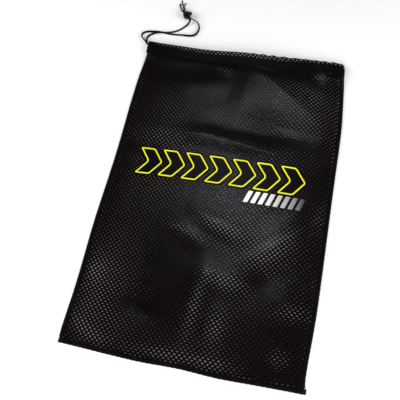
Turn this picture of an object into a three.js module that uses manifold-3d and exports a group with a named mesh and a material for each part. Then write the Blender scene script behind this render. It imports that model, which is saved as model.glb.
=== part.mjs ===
// Mesh dive gear bag, lying flat on its back: two net walls sewn at the sides and the foot, a hem
// tunnel round the mouth, a drawcord and a ball cord lock with a spring button.
// Millimetres, +X across the bag, +Y towards the mouth, +Z up, origin on the ground under its middle.
import * as THREE from 'three';
import { mergeVertices } from 'three/addons/utils/BufferGeometryUtils.js';
import Module from 'manifold-3d';

// Overall size of the lying bag
const bagWidth = 494;
const bagLength = 747;

// Net walls and the gap that neighbouring pieces keep
const wall = 1.2;
const pieceGap = 0.3;
const rimInset = 1.0;

// Seam allowances, folded to the inside
const seamWidth = 11;
const seamThickness = 1.2;
const seamInset = 4;
const seamRoll = 3;
const seamSlack = 0.15;

// How far the upper wall stands above the seams, and how high its creases are
const loft = 13;
const creaseHeight = 9;

// Hem tunnel round the mouth
const hemHeight = 35;
const hemGap = 0.5;
const casingWall = 1.0;
const mouthEndGap = 1.4;
const cornerRadius = 12;
const mouthFlare = 52;

// Flat braided cord, and its place in the hem as a share of the hem's height
const cordWidth = 5;
const cordThickness = 2;
const cordClearance = 0.3;
const cordShareAtExit = 0.86;
const cordShareInside = 0.55;

// Cord lock: a ball with a spring button
const lockRadius = 10;
const lockFlat = 0.25;
const plungerRadius = 4.6;
const plungerClearance = 0.3;
const plungerStroke = 3.0;
const plungerFloor = 1.2;
const plungerReach = 13.6;
const lockTurn = 38.8;

// Knot past the lock
const knotHalfWidth = 5.4;
const knotHalfLength = 5.8;
const knotHalfHeight = 4.8;
const knotDrop = 2.6;
const knotGap = 1.3;

// Mesh density of the upper wall, the outlines and the hem
const columns = 28;
const rows = 40;
const outlineSteps = 24;
const hemSteps = 20;
const turnSteps = 6;

// Edges of the bag: how far each one runs inside the overall box, as a share of width or length
const sideEdges = [
  { along: 0.0, left: 0.0027, right: 0.0235 },
  { along: 0.05, left: 0, right: 0.0263 },
  { along: 0.12, left: 0.0037, right: 0.0202 },
  { along: 0.2, left: 0.0046, right: 0.0134 },
  { along: 0.35, left: 0.0015, right: 0.0091 },
  { along: 0.5, left: 0.0064, right: 0.0063 },
  { along: 0.6, left: 0.008, right: 0.0038 },
  { along: 0.75, left: 0.0048, right: 0 },
  { along: 0.85, left: 0.0056, right: 0.0063 },
  { along: 0.95, left: 0.0124, right: 0.0146 },
  { along: 1.0, left: 0.005, right: 0.0186 },
];
const endEdges = [
  { across: 0.0, mouth: 0.0, foot: 0.006 },
  { across: 0.05, mouth: 0.006, foot: 0.005 },
  { across: 0.15, mouth: 0.0135, foot: 0.003 },
  { across: 0.25, mouth: 0.019, foot: 0.001 },
  { across: 0.35, mouth: 0.0217, foot: 0.0 },
  { across: 0.5, mouth: 0.0198, foot: 0.003 },
  { across: 0.65, mouth: 0.02, foot: 0.0 },
  { across: 0.8, mouth: 0.0155, foot: 0.003 },
  { across: 0.92, mouth: 0.0142, foot: 0.005 },
  { across: 1.0, mouth: 0.014, foot: 0.006 },
];

// Rise of the upper wall along the bag, as a share of the loft
const loftAlong = [
  { along: 0.0, share: 0.0 },
  { along: 0.05, share: 0.42 },
  { along: 0.12, share: 0.68 },
  { along: 0.25, share: 0.8 },
  { along: 0.4, share: 0.86 },
  { along: 0.55, share: 0.8 },
  { along: 0.7, share: 0.84 },
  { along: 0.86, share: 1.0 },
  { along: 0.953, share: 0.32 },
  { along: 1.0, share: 0.2 },
];

// Creases left from packing: ends as shares across and along the bag, rise as a share of the
// crease height, and reach to the mouth side and to the foot side as shares of the bag's width
const creases = [
  { x0: 0.53, y0: 0.925, x1: 0.84, y1: 0.86, rise: 1.1, mouthSide: 0.09, footSide: 0.3 },
  { x0: 0.84, y0: 0.86, x1: 0.97, y1: 0.7, rise: 0.8, mouthSide: 0.1, footSide: 0.22 },
  { x0: 0.48, y0: 0.7, x1: 0.86, y1: 0.69, rise: -0.55, mouthSide: 0.1, footSide: 0.07 },
  { x0: 0.04, y0: 0.665, x1: 0.84, y1: 0.655, rise: 0.6, mouthSide: 0.09, footSide: 0.07 },
  { x0: 0.05, y0: 0.93, x1: 0.44, y1: 0.95, rise: 0.35, mouthSide: 0.05, footSide: 0.06 },
  { x0: 0.08, y0: 0.87, x1: 0.36, y1: 0.9, rise: -0.5, mouthSide: 0.1, footSide: 0.1 },
  { x0: 0.18, y0: 0.83, x1: 0.42, y1: 0.86, rise: 0.4, mouthSide: 0.08, footSide: 0.14 },
  { x0: 0.44, y0: 0.42, x1: 0.66, y1: 0.385, rise: 0.55, mouthSide: 0.1, footSide: 0.07 },
  { x0: 0.34, y0: 0.385, x1: 0.5, y1: 0.345, rise: 0.5, mouthSide: 0.08, footSide: 0.06 },
  { x0: 0.89, y0: 0.46, x1: 0.74, y1: 0.37, rise: 0.6, mouthSide: 0.07, footSide: 0.07 },
  { x0: 0.93, y0: 0.4, x1: 0.72, y1: 0.32, rise: 0.5, mouthSide: 0.06, footSide: 0.07 },
  { x0: 0.84, y0: 0.3, x1: 0.7, y1: 0.23, rise: -0.5, mouthSide: 0.08, footSide: 0.1 },
  { x0: 0.52, y0: 0.27, x1: 0.5, y1: 0.07, rise: 0.6, mouthSide: 0.1, footSide: 0.07 },
  { x0: 0.53, y0: 0.265, x1: 0.7, y1: 0.235, rise: 0.45, mouthSide: 0.08, footSide: 0.06 },
  { x0: 0.62, y0: 0.17, x1: 0.63, y1: 0.06, rise: 0.3, mouthSide: 0.06, footSide: 0.05 },
  { x0: 0.18, y0: 0.15, x1: 0.4, y1: 0.12, rise: -0.3, mouthSide: 0.1, footSide: 0.1 },
];

// Route of each free strand: steps from the corner where it leaves the hem, on the ground plan,
// and the height of the cord's middle above the ground
const strandARoute = [
  { x: -1, y: 0, z: 2.3 },
  { x: -3, y: 0.2, z: 2.3 },
  { x: -6.4, y: 3.6, z: 2.0 },
  { x: -9.5, y: 7.5, z: 1.5 },
  { x: -16, y: 13.2, z: 1.05 },
  { x: -22.7, y: 21.6, z: 1.05 },
  { x: -23.2, y: 28.5, z: 1.05 },
  { x: -18.4, y: 34.3, z: 1.05 },
  { x: -10, y: 38.3, z: 1.05 },
  { x: 2.5, y: 40.6, z: 1.05 },
  { x: 17, y: 42.4, z: 1.05 },
  { x: 32, y: 40.6, z: 1.05 },
  { x: 46, y: 38.2, z: 1.05 },
  { x: 60, y: 36.9, z: 1.05 },
  { x: 77, y: 37.3, z: 1.05 },
  { x: 94, y: 36.8, z: 1.05 },
  { x: 104, y: 38, z: 1.05 },
  { x: 111.5, y: 42.4, z: 1.05 },
  { x: 116.8, y: 53.9, z: 1.05 },
  { x: 116.9, y: 65, z: 1.05 },
  { x: 113.2, y: 75.6, z: 1.8 },
  { x: 106, y: 82.6, z: 4.2 },
  { x: 98.4, y: 84.6, z: 7.2 },
  { x: 91.6, y: 84.2, z: 10.5 },
];
const strandBRoute = [
  { x: -1, y: 0, z: 8.3 },
  { x: -2.8, y: 0.2, z: 8.3 },
  { x: -4.6, y: 3.8, z: 7.9 },
  { x: -6, y: 8.5, z: 6.6 },
  { x: -7.6, y: 15, z: 4.2 },
  { x: -6.8, y: 22, z: 2.4 },
  { x: -2.6, y: 28.6, z: 1.7 },
  { x: 4, y: 33, z: 2.3 },
  { x: 11.5, y: 36.2, z: 3.3 },
  { x: 18, y: 38, z: 3.6 },
  { x: 31, y: 39.2, z: 3.7 },
  { x: 42.4, y: 40.2, z: 3.6 },
  { x: 48.6, y: 42.8, z: 3.1 },
  { x: 53.4, y: 45.2, z: 2.1 },
  { x: 59, y: 48.2, z: 1.2 },
  { x: 64.7, y: 51.6, z: 1.05 },
  { x: 75.6, y: 61, z: 1.05 },
  { x: 81.6, y: 67.4, z: 1.7 },
  { x: 86.6, y: 73.4, z: 3.9 },
  { x: 89.4, y: 79, z: 6.3 },
  { x: 88.9, y: 84.4, z: 8.0 },
];
const lockFromExit = { x: 79.2, y: 95.4 };
const leftTailRoute = [
  { x: 62.5, y: 111.8, z: 6.2 },
  { x: 60.6, y: 114.6, z: 5 },
  { x: 58.4, y: 118.8, z: 3 },
  { x: 56, y: 123.8, z: 1.5 },
  { x: 54.2, y: 128, z: 1.05 },
  { x: 52.9, y: 131.8, z: 1.05 },
  { x: 52.3, y: 135.4, z: 1.05 },
];
const rightTailRoute = [
  { x: 66.8, y: 115.3, z: 6.2 },
  { x: 65.8, y: 118.2, z: 4.8 },
  { x: 64.7, y: 122, z: 2.8 },
  { x: 63.4, y: 126, z: 1.4 },
  { x: 62.4, y: 129.3, z: 1.05 },
];
const rightTailProngs = [
  [
    { x: 62.8, y: 128.4, z: 1.05 },
    { x: 58.6, y: 135, z: 1.05 },
    { x: 54.5, y: 146.7, z: 1.05 },
  ],
  [
    { x: 62.4, y: 128.4, z: 1.05 },
    { x: 63.4, y: 133.8, z: 1.05 },
    { x: 64.8, y: 139.3, z: 1.05 },
  ],
];

const wasm = await Module();
wasm.setup();

const materials = {
  net: { color: 0x141416, roughness: 0.8, metalness: 0 },
  seam: { color: 0x0e0e10, roughness: 0.85, metalness: 0 },
  cord: { color: 0x1a1a1c, roughness: 0.75, metalness: 0 },
  plastic: { color: 0x101012, roughness: 0.35, metalness: 0 },
};

function meshOf(name, geometry, look) {
  const mesh = new THREE.Mesh(geometry, new THREE.MeshStandardMaterial(materials[look]));
  mesh.name = name;
  return mesh;
}

// Value of one column of a table at a place between its rows, eased so that edges run smoothly
function lookUp(table, key, place, column) {
  const at = THREE.MathUtils.clamp(place, table[0][key], table[table.length - 1][key]);
  let i = 0;
  while (i < table.length - 2 && at > table[i + 1][key]) {
    i += 1;
  }
  const low = table[i];
  const high = table[i + 1];
  const before = table[Math.max(i - 1, 0)];
  const after = table[Math.min(i + 2, table.length - 1)];
  const span = high[key] - low[key];
  const t = (at - low[key]) / span;
  const slopeLow = ((high[column] - before[column]) / (high[key] - before[key])) * span;
  const slopeHigh = ((after[column] - low[column]) / (after[key] - low[key])) * span;
  const t2 = t * t;
  const t3 = t2 * t;
  return (2 * t3 - 3 * t2 + 1) * low[column] + (t3 - 2 * t2 + t) * slopeLow
    + (3 * t2 - 2 * t3) * high[column] + (t3 - t2) * slopeHigh;
}

function smooth(t) {
  const s = THREE.MathUtils.clamp(t, 0, 1);
  return s * s * (3 - 2 * s);
}

// Outline of the lying bag
const alongOf = (y) => y / bagLength + 0.5;
const leftX = (y) => -bagWidth / 2 + lookUp(sideEdges, 'along', alongOf(y), 'left') * bagWidth;
const rightX = (y) => bagWidth / 2 - lookUp(sideEdges, 'along', alongOf(y), 'right') * bagWidth;
const acrossOf = (x) => x / bagWidth + 0.5;
const footY = (x) => -bagLength / 2 + lookUp(endEdges, 'across', acrossOf(x), 'foot') * bagLength;
const plainMouthY = (x) => (
  bagLength / 2 - lookUp(endEdges, 'across', acrossOf(x), 'mouth') * bagLength
);
const hemY = (x) => plainMouthY(x) - hemHeight;

// The mouth's edge drops in an arc at the right corner
function mouthY(x) {
  const fromEdge = rightX(bagLength / 2) - x;
  const inArc = THREE.MathUtils.clamp(cornerRadius - fromEdge, 0, cornerRadius);
  return plainMouthY(x) - cornerRadius + Math.sqrt(cornerRadius ** 2 - inArc ** 2);
}

// Heights of the upper wall's middle surface
const casingDepth = 2 * casingWall + cordThickness + 2 * cordClearance;
const mouthEndHeight = 2 * casingDepth + mouthEndGap;
const rimHeight = wall + pieceGap + wall / 2;
const seamHeight = wall + pieceGap + seamThickness + pieceGap + wall / 2 + seamSlack;

function creaseRise(x, y, crease) {
  const ax = (crease.x0 - 0.5) * bagWidth;
  const ay = (crease.y0 - 0.5) * bagLength;
  const dx = (crease.x1 - 0.5) * bagWidth - ax;
  const dy = (crease.y1 - 0.5) * bagLength - ay;
  const length = Math.hypot(dx, dy);
  const t = THREE.MathUtils.clamp(((x - ax) * dx + (y - ay) * dy) / length ** 2, 0, 1);
  const across = ((x - ax) * dy - (y - ay) * dx) / length;
  const towardsMouth = (dx >= 0) === (across < 0);
  const reach = bagWidth * (towardsMouth ? crease.mouthSide : crease.footSide);
  const away = Math.hypot(x - ax - t * dx, y - ay - t * dy) / reach;
  const ends = 0.55 + 0.45 * Math.sin(Math.PI * t);
  return creaseHeight * crease.rise * ends * Math.max(0, 1 - away) ** 1.6;
}

function upperHeight(x, y) {
  const left = leftX(y);
  const across = THREE.MathUtils.clamp((x - left) / (rightX(y) - left), 0, 1);
  const along = alongOf(y);
  const nearMouth = smooth((y - hemY(x) + mouthFlare) / mouthFlare);
  const base = THREE.MathUtils.lerp(seamHeight, mouthEndHeight - wall / 2, nearMouth);
  const sides = 1 - Math.abs(2 * across - 1) ** 2.6;
  const puffed = loft * sides * lookUp(loftAlong, 'along', along, 'share');
  const fromSide = Math.min(x - left, rightX(y) - x);
  const fromEdge = Math.min(fromSide, y - footY(x));
  const free = smooth((fromEdge - seamRoll) / (2 * seamWidth));
  const folded = creases.reduce((sum, crease) => sum + creaseRise(x, y, crease), 0);
  return Math.max(base, base + puffed + free * folded);
}

// Closed sheet between two grids of points with the same layout
function closedSheet(top, bottom) {
  const width = top[0].length;
  const height = top.length;
  const count = width * height;
  const positions = [...top.flat(), ...bottom.flat()].flatMap((p) => [p.x, p.y, p.z]);
  const faces = [];
  const quad = (a, b, c, d) => faces.push(a, b, c, a, c, d);
  for (let j = 0; j < height - 1; j += 1) {
    for (let i = 0; i < width - 1; i += 1) {
      const a = j * width + i;
      quad(a, a + 1, a + 1 + width, a + width);
      quad(count + a, count + a + width, count + a + 1 + width, count + a + 1);
    }
  }
  for (let i = 0; i < width - 1; i += 1) {
    const last = (height - 1) * width + i;
    quad(i, count + i, count + i + 1, i + 1);
    quad(last, last + 1, count + last + 1, count + last);
  }
  for (let j = 0; j < height - 1; j += 1) {
    const a = j * width;
    const b = a + width - 1;
    quad(a, a + width, count + a + width, count + a);
    quad(b, count + b, count + b + width, b + width);
  }
  const geometry = new THREE.BufferGeometry();
  geometry.setAttribute('position', new THREE.Float32BufferAttribute(positions, 3));
  geometry.setIndex(faces);
  geometry.computeVertexNormals();
  return geometry;
}

// Closed tube through rings of points; open at neither end
function closedRings(rings) {
  const sides = rings[0].length;
  const positions = rings.flat().flatMap((p) => [p.x, p.y, p.z]);
  const faces = [];
  for (let r = 0; r < rings.length - 1; r += 1) {
    for (let k = 0; k < sides; k += 1) {
      const a = r * sides + k;
      const b = r * sides + ((k + 1) % sides);
      faces.push(a, b, b + sides, a, b + sides, a + sides);
    }
  }
  const last = (rings.length - 1) * sides;
  for (let k = 1; k < sides - 1; k += 1) {
    faces.push(0, k + 1, k, last, last + k, last + k + 1);
  }
  const geometry = new THREE.BufferGeometry();
  geometry.setAttribute('position', new THREE.Float32BufferAttribute(positions, 3));
  geometry.setIndex(faces);
  geometry.computeVertexNormals();
  return geometry;
}

// Upper wall: a grid whose first and last columns and first row roll down to the lower wall
function frontPanel() {
  const nearEdge = [rimInset, seamRoll, seamInset + seamWidth];
  const middle = [];
  for (let j = 0; j <= rows; j += 1) {
    const row = [];
    for (let i = 0; i <= columns; i += 1) {
      let x = 0;
      let y = 0;
      for (let pass = 0; pass < 3; pass += 1) {
        const low = footY(x);
        const high = hemY(x) - hemGap;
        const inner = nearEdge[2] + (high - low - nearEdge[2]) * ((j - 2) / (rows - 2));
        y = low + (j < 2 ? nearEdge[j] : inner);
        const left = leftX(y);
        const right = rightX(y);
        const free = right - left - 2 * nearEdge[2];
        if (i < 2) {
          x = left + nearEdge[i];
        } else if (i > columns - 2) {
          x = right - nearEdge[columns - i];
        } else {
          x = left + nearEdge[2] + free * ((i - 2) / (columns - 4));
        }
      }
      const onRim = i === 0 || i === columns || j === 0;
      row.push(new THREE.Vector3(x, y, onRim ? rimHeight : upperHeight(x, y)));
    }
    middle.push(row);
  }
  const offset = (side) => middle.map((row, j) => row.map((p, i) => {
    const u = row[Math.min(i + 1, columns)].clone().sub(row[Math.max(i - 1, 0)]);
    const v = middle[Math.min(j + 1, rows)][i].clone().sub(middle[Math.max(j - 1, 0)][i]);
    const normal = u.cross(v);
    normal.y = j === rows ? 0 : normal.y;
    return p.clone().addScaledVector(normal.normalize(), side * wall / 2);
  }));
  return closedSheet(offset(1), offset(-1));
}

// Flat outline raised to a thin plate
function flatPiece(outline, thickness, bottom) {
  const shape = new THREE.Shape(outline.map(([x, y]) => new THREE.Vector2(x, y)));
  const geometry = new THREE.ExtrudeGeometry(shape, { depth: thickness, bevelEnabled: false });
  geometry.translate(0, 0, bottom);
  return geometry;
}

const steps = (count) => Array.from({ length: count + 1 }, (_, k) => k / count);

function backPanel() {
  const foot = steps(outlineSteps).map((t) => {
    const x = THREE.MathUtils.lerp(leftX(-bagLength / 2), rightX(-bagLength / 2), t);
    return [x, footY(x)];
  });
  const sides = [rightX, leftX].map((edge) => steps(outlineSteps).map((t) => {
    const low = footY(edge(-bagLength / 2));
    const high = hemY(edge(bagLength / 2 - hemHeight)) - hemGap;
    const y = THREE.MathUtils.lerp(low, high, t);
    return [edge(y), y];
  }));
  const mouth = steps(outlineSteps).map((t) => {
    const y = bagLength / 2 - hemHeight;
    const x = THREE.MathUtils.lerp(rightX(y), leftX(y), t);
    return [x, hemY(x) - hemGap];
  });
  const outline = [
    ...foot.slice(0, -1),
    ...sides[0].slice(0, -1),
    ...mouth.slice(0, -1),
    ...sides[1].reverse().slice(0, -1),
  ];
  return flatPiece(outline, wall, 0);
}

function sideSeam(edge, inwards) {
  const line = (inset) => {
    const low = footY(edge(-bagLength / 2)) + seamInset + seamWidth + pieceGap;
    const high = hemY(edge(bagLength / 2 - hemHeight) + inwards * inset) - hemGap;
    return steps(outlineSteps).map((t) => {
      const y = THREE.MathUtils.lerp(low, high, t);
      return [edge(y) + inwards * inset, y];
    });
  };
  const outer = line(seamInset);
  const inner = line(seamInset + seamWidth);
  const outline = inwards < 0 ? [...outer, ...inner.reverse()] : [...inner, ...outer.reverse()];
  return flatPiece(outline, seamThickness, wall + pieceGap);
}

function bottomSeam() {
  const y = -bagLength / 2 + seamInset;
  const line = (inset) => steps(outlineSteps).map((t) => {
    const x = THREE.MathUtils.lerp(leftX(y) + seamInset, rightX(y) - seamInset, t);
    return [x, footY(x) + inset];
  });
  const outline = [...line(seamInset), ...line(seamInset + seamWidth).reverse()];
  return flatPiece(outline, seamThickness, wall + pieceGap);
}

// Hem tunnel: a belt that runs along the upper mouth edge, turns at the right corner and comes
// back along the lower one. A place on it is a station, a share of the hem's height and a depth
// measured inwards from the belt's outer face.
const turnRadius = mouthEndHeight / 2;
const turnEdge = (y) => rightX(y) - turnRadius;
const hemStations = [
  ...steps(hemSteps).map((t) => ({ part: 'upper', at: 1 - (1 - t) ** 1.5 })),
  ...steps(turnSteps).slice(1, -1).map((t) => ({ part: 'turn', at: t * Math.PI })),
  ...steps(hemSteps).map((t) => ({ part: 'lower', at: 1 - t ** 1.5 })),
];

function hemPlace(station, share, depth) {
  const spread = (y) => {
    if (station.part === 'turn') {
      return turnEdge(y) + (turnRadius - depth) * Math.sin(station.at);
    }
    return THREE.MathUtils.lerp(leftX(y), turnEdge(y), station.at);
  };
  let x = 0;
  let y = bagLength / 2 - hemHeight;
  for (let pass = 0; pass < 4; pass += 1) {
    x = spread(y);
    y = THREE.MathUtils.lerp(hemY(x), mouthY(x), share);
  }
  if (station.part === 'turn') {
    return new THREE.Vector3(x, y, turnRadius + (turnRadius - depth) * Math.cos(station.at));
  }
  if (station.part === 'lower') {
    return new THREE.Vector3(x, y, depth);
  }
  const top = upperHeight(x, hemY(x) - hemGap) + wall / 2;
  const settle = smooth((turnEdge(y) - x) / cornerRadius);
  return new THREE.Vector3(x, y, THREE.MathUtils.lerp(mouthEndHeight, top, settle) - depth);
}

function hemCasing() {
  const inside = casingDepth - casingWall;
  const outer = [
    [0, 0], [0.5, 0], [0.95, 0], [1, 0.25 * casingDepth], [1, 0.75 * casingDepth],
    [0.95, casingDepth], [0.5, casingDepth], [0.12, 0.9 * casingDepth], [0, 0.55 * casingDepth],
  ];
  const inner = [
    [0.1, casingWall], [0.5, casingWall], [0.93, casingWall], [0.96, casingWall + 0.4],
    [0.96, inside - 0.4], [0.93, inside], [0.5, inside], [0.16, 0.9 * inside], [0.1, 0.6 * inside],
  ];
  const sides = outer.length;
  const rings = hemStations.map((station) => (
    [...outer, ...inner].map(([share, depth]) => hemPlace(station, share, depth))
  ));
  const positions = rings.flat().flatMap((p) => [p.x, p.y, p.z]);
  const faces = [];
  const quad = (a, b, c, d) => faces.push(a, b, c, a, c, d);
  for (let r = 0; r < rings.length - 1; r += 1) {
    for (let k = 0; k < sides; k += 1) {
      const a = 2 * sides * r + k;
      const b = 2 * sides * r + ((k + 1) % sides);
      quad(a, a + 2 * sides, b + 2 * sides, b);
      quad(a + sides, b + sides, b + 3 * sides, a + 3 * sides);
    }
  }
  const last = 2 * sides * (rings.length - 1);
  for (let k = 0; k < sides; k += 1) {
    const b = (k + 1) % sides;
    quad(k, b, b + sides, k + sides);
    quad(last + k, last + k + sides, last + b + sides, last + b);
  }
  const geometry = new THREE.BufferGeometry();
  geometry.setAttribute('position', new THREE.Float32BufferAttribute(positions, 3));
  geometry.setIndex(faces);
  geometry.computeVertexNormals();
  return geometry;
}

// Flat cord section as corners of an eight-sided outline, width then thickness
const cordSection = [
  [0.5, -0.2], [0.5, 0.2], [0.36, 0.5], [-0.36, 0.5],
  [-0.5, 0.2], [-0.5, -0.2], [-0.36, -0.5], [0.36, -0.5],
];

function drawcordLoop() {
  const cordShare = (place) => {
    const fromExit = place.part === 'turn' ? 1 : smooth(place.at * 6);
    return THREE.MathUtils.lerp(cordShareAtExit, cordShareInside, fromExit);
  };
  const rings = hemStations.map((station) => cordSection.map(([w, t]) => {
    const share = cordShare(station) + w * cordWidth / hemHeight;
    return hemPlace(station, share, casingDepth / 2 - t * cordThickness);
  }));
  return closedRings(rings);
}

// Free cord along a route that starts where the hem ends
const hemEnd = hemPlace({ part: 'lower', at: 0 }, cordShareAtExit, casingDepth / 2);

function routeCurve(route) {
  const points = route.map((p) => new THREE.Vector3(hemEnd.x + p.x, hemEnd.y + p.y, p.z));
  return new THREE.CatmullRomCurve3(points, false, 'centripetal');
}

// Flat cord whose wide side stays level
function cordAlong(curve, width = cordWidth) {
  const count = Math.round(curve.getLength() / (1.2 * cordWidth));
  const rings = steps(count).map((t) => {
    const middle = curve.getPointAt(t);
    const ahead = curve.getTangentAt(t);
    const side = new THREE.Vector3(-ahead.y, ahead.x, 0).normalize();
    const up = ahead.clone().cross(side);
    return cordSection.map(([w, h]) => (
      middle.clone().addScaledVector(side, w * width).addScaledVector(up, h * cordThickness)
    ));
  });
  return closedRings(rings);
}

// Cord lock
const lockHeight = lockRadius - lockFlat;
const stackHalf = cordThickness + cordClearance / 2;
const strandLift = (cordThickness + cordClearance) / 2;
const lockX = hemEnd.x + lockFromExit.x;
const lockY = hemEnd.y + lockFromExit.y;
const turn = THREE.MathUtils.degToRad(lockTurn);
const boreDirection = new THREE.Vector3(-Math.sin(turn), Math.cos(turn), 0);

function solidOf(geometry) {
  const plain = geometry.clone();
  plain.deleteAttribute('normal');
  plain.deleteAttribute('uv');
  const merged = mergeVertices(plain, 1e-4);
  return new wasm.Manifold(new wasm.Mesh({
    numProp: 3,
    vertProperties: new Float32Array(merged.attributes.position.array),
    triVerts: new Uint32Array(merged.index.array),
  }));
}

function geometryOf(solid) {
  const { vertProperties, triVerts } = solid.getMesh();
  const geometry = new THREE.BufferGeometry();
  geometry.setAttribute('position', new THREE.BufferAttribute(new Float32Array(vertProperties), 3));
  geometry.setIndex(new THREE.BufferAttribute(new Uint32Array(triVerts), 1));
  return geometry;
}

// Straight bore along Y with rounded corners, from low to high on X and as tall as the cord stack
function slotBore(lowX, highX) {
  const height = 2 * (stackHalf + cordClearance);
  const rounding = cordThickness / 2;
  const shape = new THREE.Shape();
  shape.moveTo(lowX + rounding, -height / 2);
  shape.lineTo(highX - rounding, -height / 2);
  shape.absarc(highX - rounding, -height / 2 + rounding, rounding, -Math.PI / 2, 0);
  shape.absarc(highX - rounding, height / 2 - rounding, rounding, 0, Math.PI / 2);
  shape.absarc(lowX + rounding, height / 2 - rounding, rounding, Math.PI / 2, Math.PI);
  shape.absarc(lowX + rounding, -height / 2 + rounding, rounding, Math.PI, 1.5 * Math.PI);
  const geometry = new THREE.ExtrudeGeometry(shape, {
    depth: 3 * lockRadius,
    bevelEnabled: false,
    curveSegments: 3,
  });
  return geometry.translate(0, 0, -1.5 * lockRadius).rotateX(Math.PI / 2);
}

const boreHalf = cordWidth / 2 + cordClearance;
const plungerEnd = -boreHalf - plungerFloor;

function lockBody() {
  const ball = solidOf(new THREE.SphereGeometry(lockRadius, 22, 13).rotateX(Math.PI / 2));
  const below = new THREE.BoxGeometry(4 * lockRadius, 4 * lockRadius, 2 * lockRadius);
  const boreFloor = plungerEnd - plungerStroke - plungerClearance;
  const boreLength = 2 * lockRadius;
  const bore = new THREE.CylinderGeometry(
    plungerRadius + plungerClearance,
    plungerRadius + plungerClearance,
    boreLength,
    24,
  );
  bore.rotateZ(-Math.PI / 2).translate(boreFloor + boreLength / 2, 0, 0);
  const cut = ball
    .subtract(solidOf(below.translate(0, 0, -lockHeight - lockRadius)))
    .subtract(solidOf(bore))
    .subtract(solidOf(slotBore(-boreHalf, boreHalf)));
  return geometryOf(cut);
}

function lockPlunger() {
  const profile = [
    [0, plungerEnd],
    [plungerRadius, plungerEnd],
    [plungerRadius, plungerReach - 1.6],
    [plungerRadius - 0.8, plungerReach - 0.6],
    [plungerRadius / 2, plungerReach - 0.1],
    [0, plungerReach],
  ].map(([r, h]) => new THREE.Vector2(r, h));
  const stem = new THREE.LatheGeometry(profile, 24).rotateZ(-Math.PI / 2);
  const slot = slotBore(-boreHalf, boreHalf + plungerStroke);
  return geometryOf(solidOf(stem).subtract(solidOf(slot)));
}

// Knot: a lumpy ball of two turns of cord, behind the lock on the line of its bore
const knotFace = lockRadius + knotGap;

function cordKnot() {
  const ball = new THREE.SphereGeometry(1, 14, 10);
  const position = ball.attributes.position;
  const point = new THREE.Vector3();
  for (let i = 0; i < position.count; i += 1) {
    point.fromBufferAttribute(position, i);
    const lump = 1 - 0.09 * Math.abs(Math.sin(2.5 * point.x + 1.2 * point.y)) * (1 - point.y ** 2);
    position.setXYZ(i, ...point.multiplyScalar(lump).toArray());
  }
  ball.scale(knotHalfWidth, knotHalfLength, knotHalfHeight);
  return geometryOf(solidOf(ball));
}

// A strand ends in a straight run through the lock, above or below its fellow
function strandCurve(route, lift) {
  const start = routeCurve(route).points;
  const run = [-lockRadius, -lockRadius / 2, 0, lockRadius / 2, knotFace - 2 * pieceGap];
  const through = run.map((along) => (
    new THREE.Vector3(lockX, lockY, lockHeight + lift).addScaledVector(boreDirection, along)
  ));
  return new THREE.CatmullRomCurve3([...start, ...through], false, 'centripetal');
}

function rightTail() {
  const trunk = solidOf(cordAlong(routeCurve(rightTailRoute)));
  const prongs = rightTailProngs.map((route) => (
    solidOf(cordAlong(routeCurve(route), cordWidth * 0.55))
  ));
  return geometryOf(prongs.reduce((whole, prong) => whole.add(prong), trunk));
}

const bag = new THREE.Group();
bag.add(
  meshOf('back_panel', backPanel(), 'net'),
  meshOf('front_panel', frontPanel(), 'net'),
  meshOf('side_seam_left', sideSeam(leftX, 1), 'seam'),
  meshOf('side_seam_right', sideSeam(rightX, -1), 'seam'),
  meshOf('bottom_seam', bottomSeam(), 'seam'),
  meshOf('hem_casing', hemCasing(), 'net'),
  meshOf('drawcord_loop', drawcordLoop(), 'cord'),
  meshOf('drawcord_strand_a', cordAlong(strandCurve(strandARoute, strandLift)), 'cord'),
  meshOf('drawcord_strand_b', cordAlong(strandCurve(strandBRoute, -strandLift)), 'cord'),
  meshOf('tail_left', cordAlong(routeCurve(leftTailRoute)), 'cord'),
  meshOf('tail_right', rightTail(), 'cord'),
);

const lock = new THREE.Group();
lock.position.set(lockX, lockY, lockHeight);
lock.rotation.z = turn;
const knot = meshOf('cord_knot', cordKnot(), 'cord');
knot.position.set(0, knotFace + knotHalfLength, -knotDrop);
lock.add(
  meshOf('lock_body', lockBody(), 'plastic'),
  meshOf('lock_plunger', lockPlunger(), 'plastic'),
  knot,
);
bag.add(lock);

export default bag;
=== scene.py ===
"""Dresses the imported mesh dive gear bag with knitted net, hem, seams, print, cords and lock."""
import logging
import math
from dataclasses import dataclass, field
from enum import Enum
from typing import Any, Callable, Iterable, Sequence

import bmesh
import bpy
import numpy as np
from bmesh.types import BMEdge, BMesh, BMFace, BMVert
from bpy.types import Material, Mesh, Node, NodeTree, Object
from mathutils import Matrix, Vector
from mathutils.bvhtree import BVHTree


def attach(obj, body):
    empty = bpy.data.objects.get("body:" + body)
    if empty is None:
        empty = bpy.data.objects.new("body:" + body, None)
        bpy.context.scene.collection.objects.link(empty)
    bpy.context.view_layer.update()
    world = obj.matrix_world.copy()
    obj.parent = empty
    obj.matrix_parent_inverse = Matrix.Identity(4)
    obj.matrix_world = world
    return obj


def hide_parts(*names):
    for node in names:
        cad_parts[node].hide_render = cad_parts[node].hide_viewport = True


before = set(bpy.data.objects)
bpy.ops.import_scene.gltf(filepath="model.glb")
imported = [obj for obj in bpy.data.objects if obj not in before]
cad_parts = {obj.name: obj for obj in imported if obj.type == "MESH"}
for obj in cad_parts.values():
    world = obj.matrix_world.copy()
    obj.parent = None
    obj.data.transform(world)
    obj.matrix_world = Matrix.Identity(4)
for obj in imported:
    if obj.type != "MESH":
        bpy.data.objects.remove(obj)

MM = 0.001
bpy.context.view_layer.update()
BAG = "bag"
Point = tuple[float, float, float]
Output = tuple[Node, str]

log = logging.getLogger("gear_bag")

# Corners closer than this are one, and corners this near to a cutting plane lie on it
MERGE = 0.01 * MM
ON_PLANE = 1e-7
# Distance from crest to crest of a wave texture of scale 1, in metres
WAVE_PERIOD = 0.314
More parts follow.
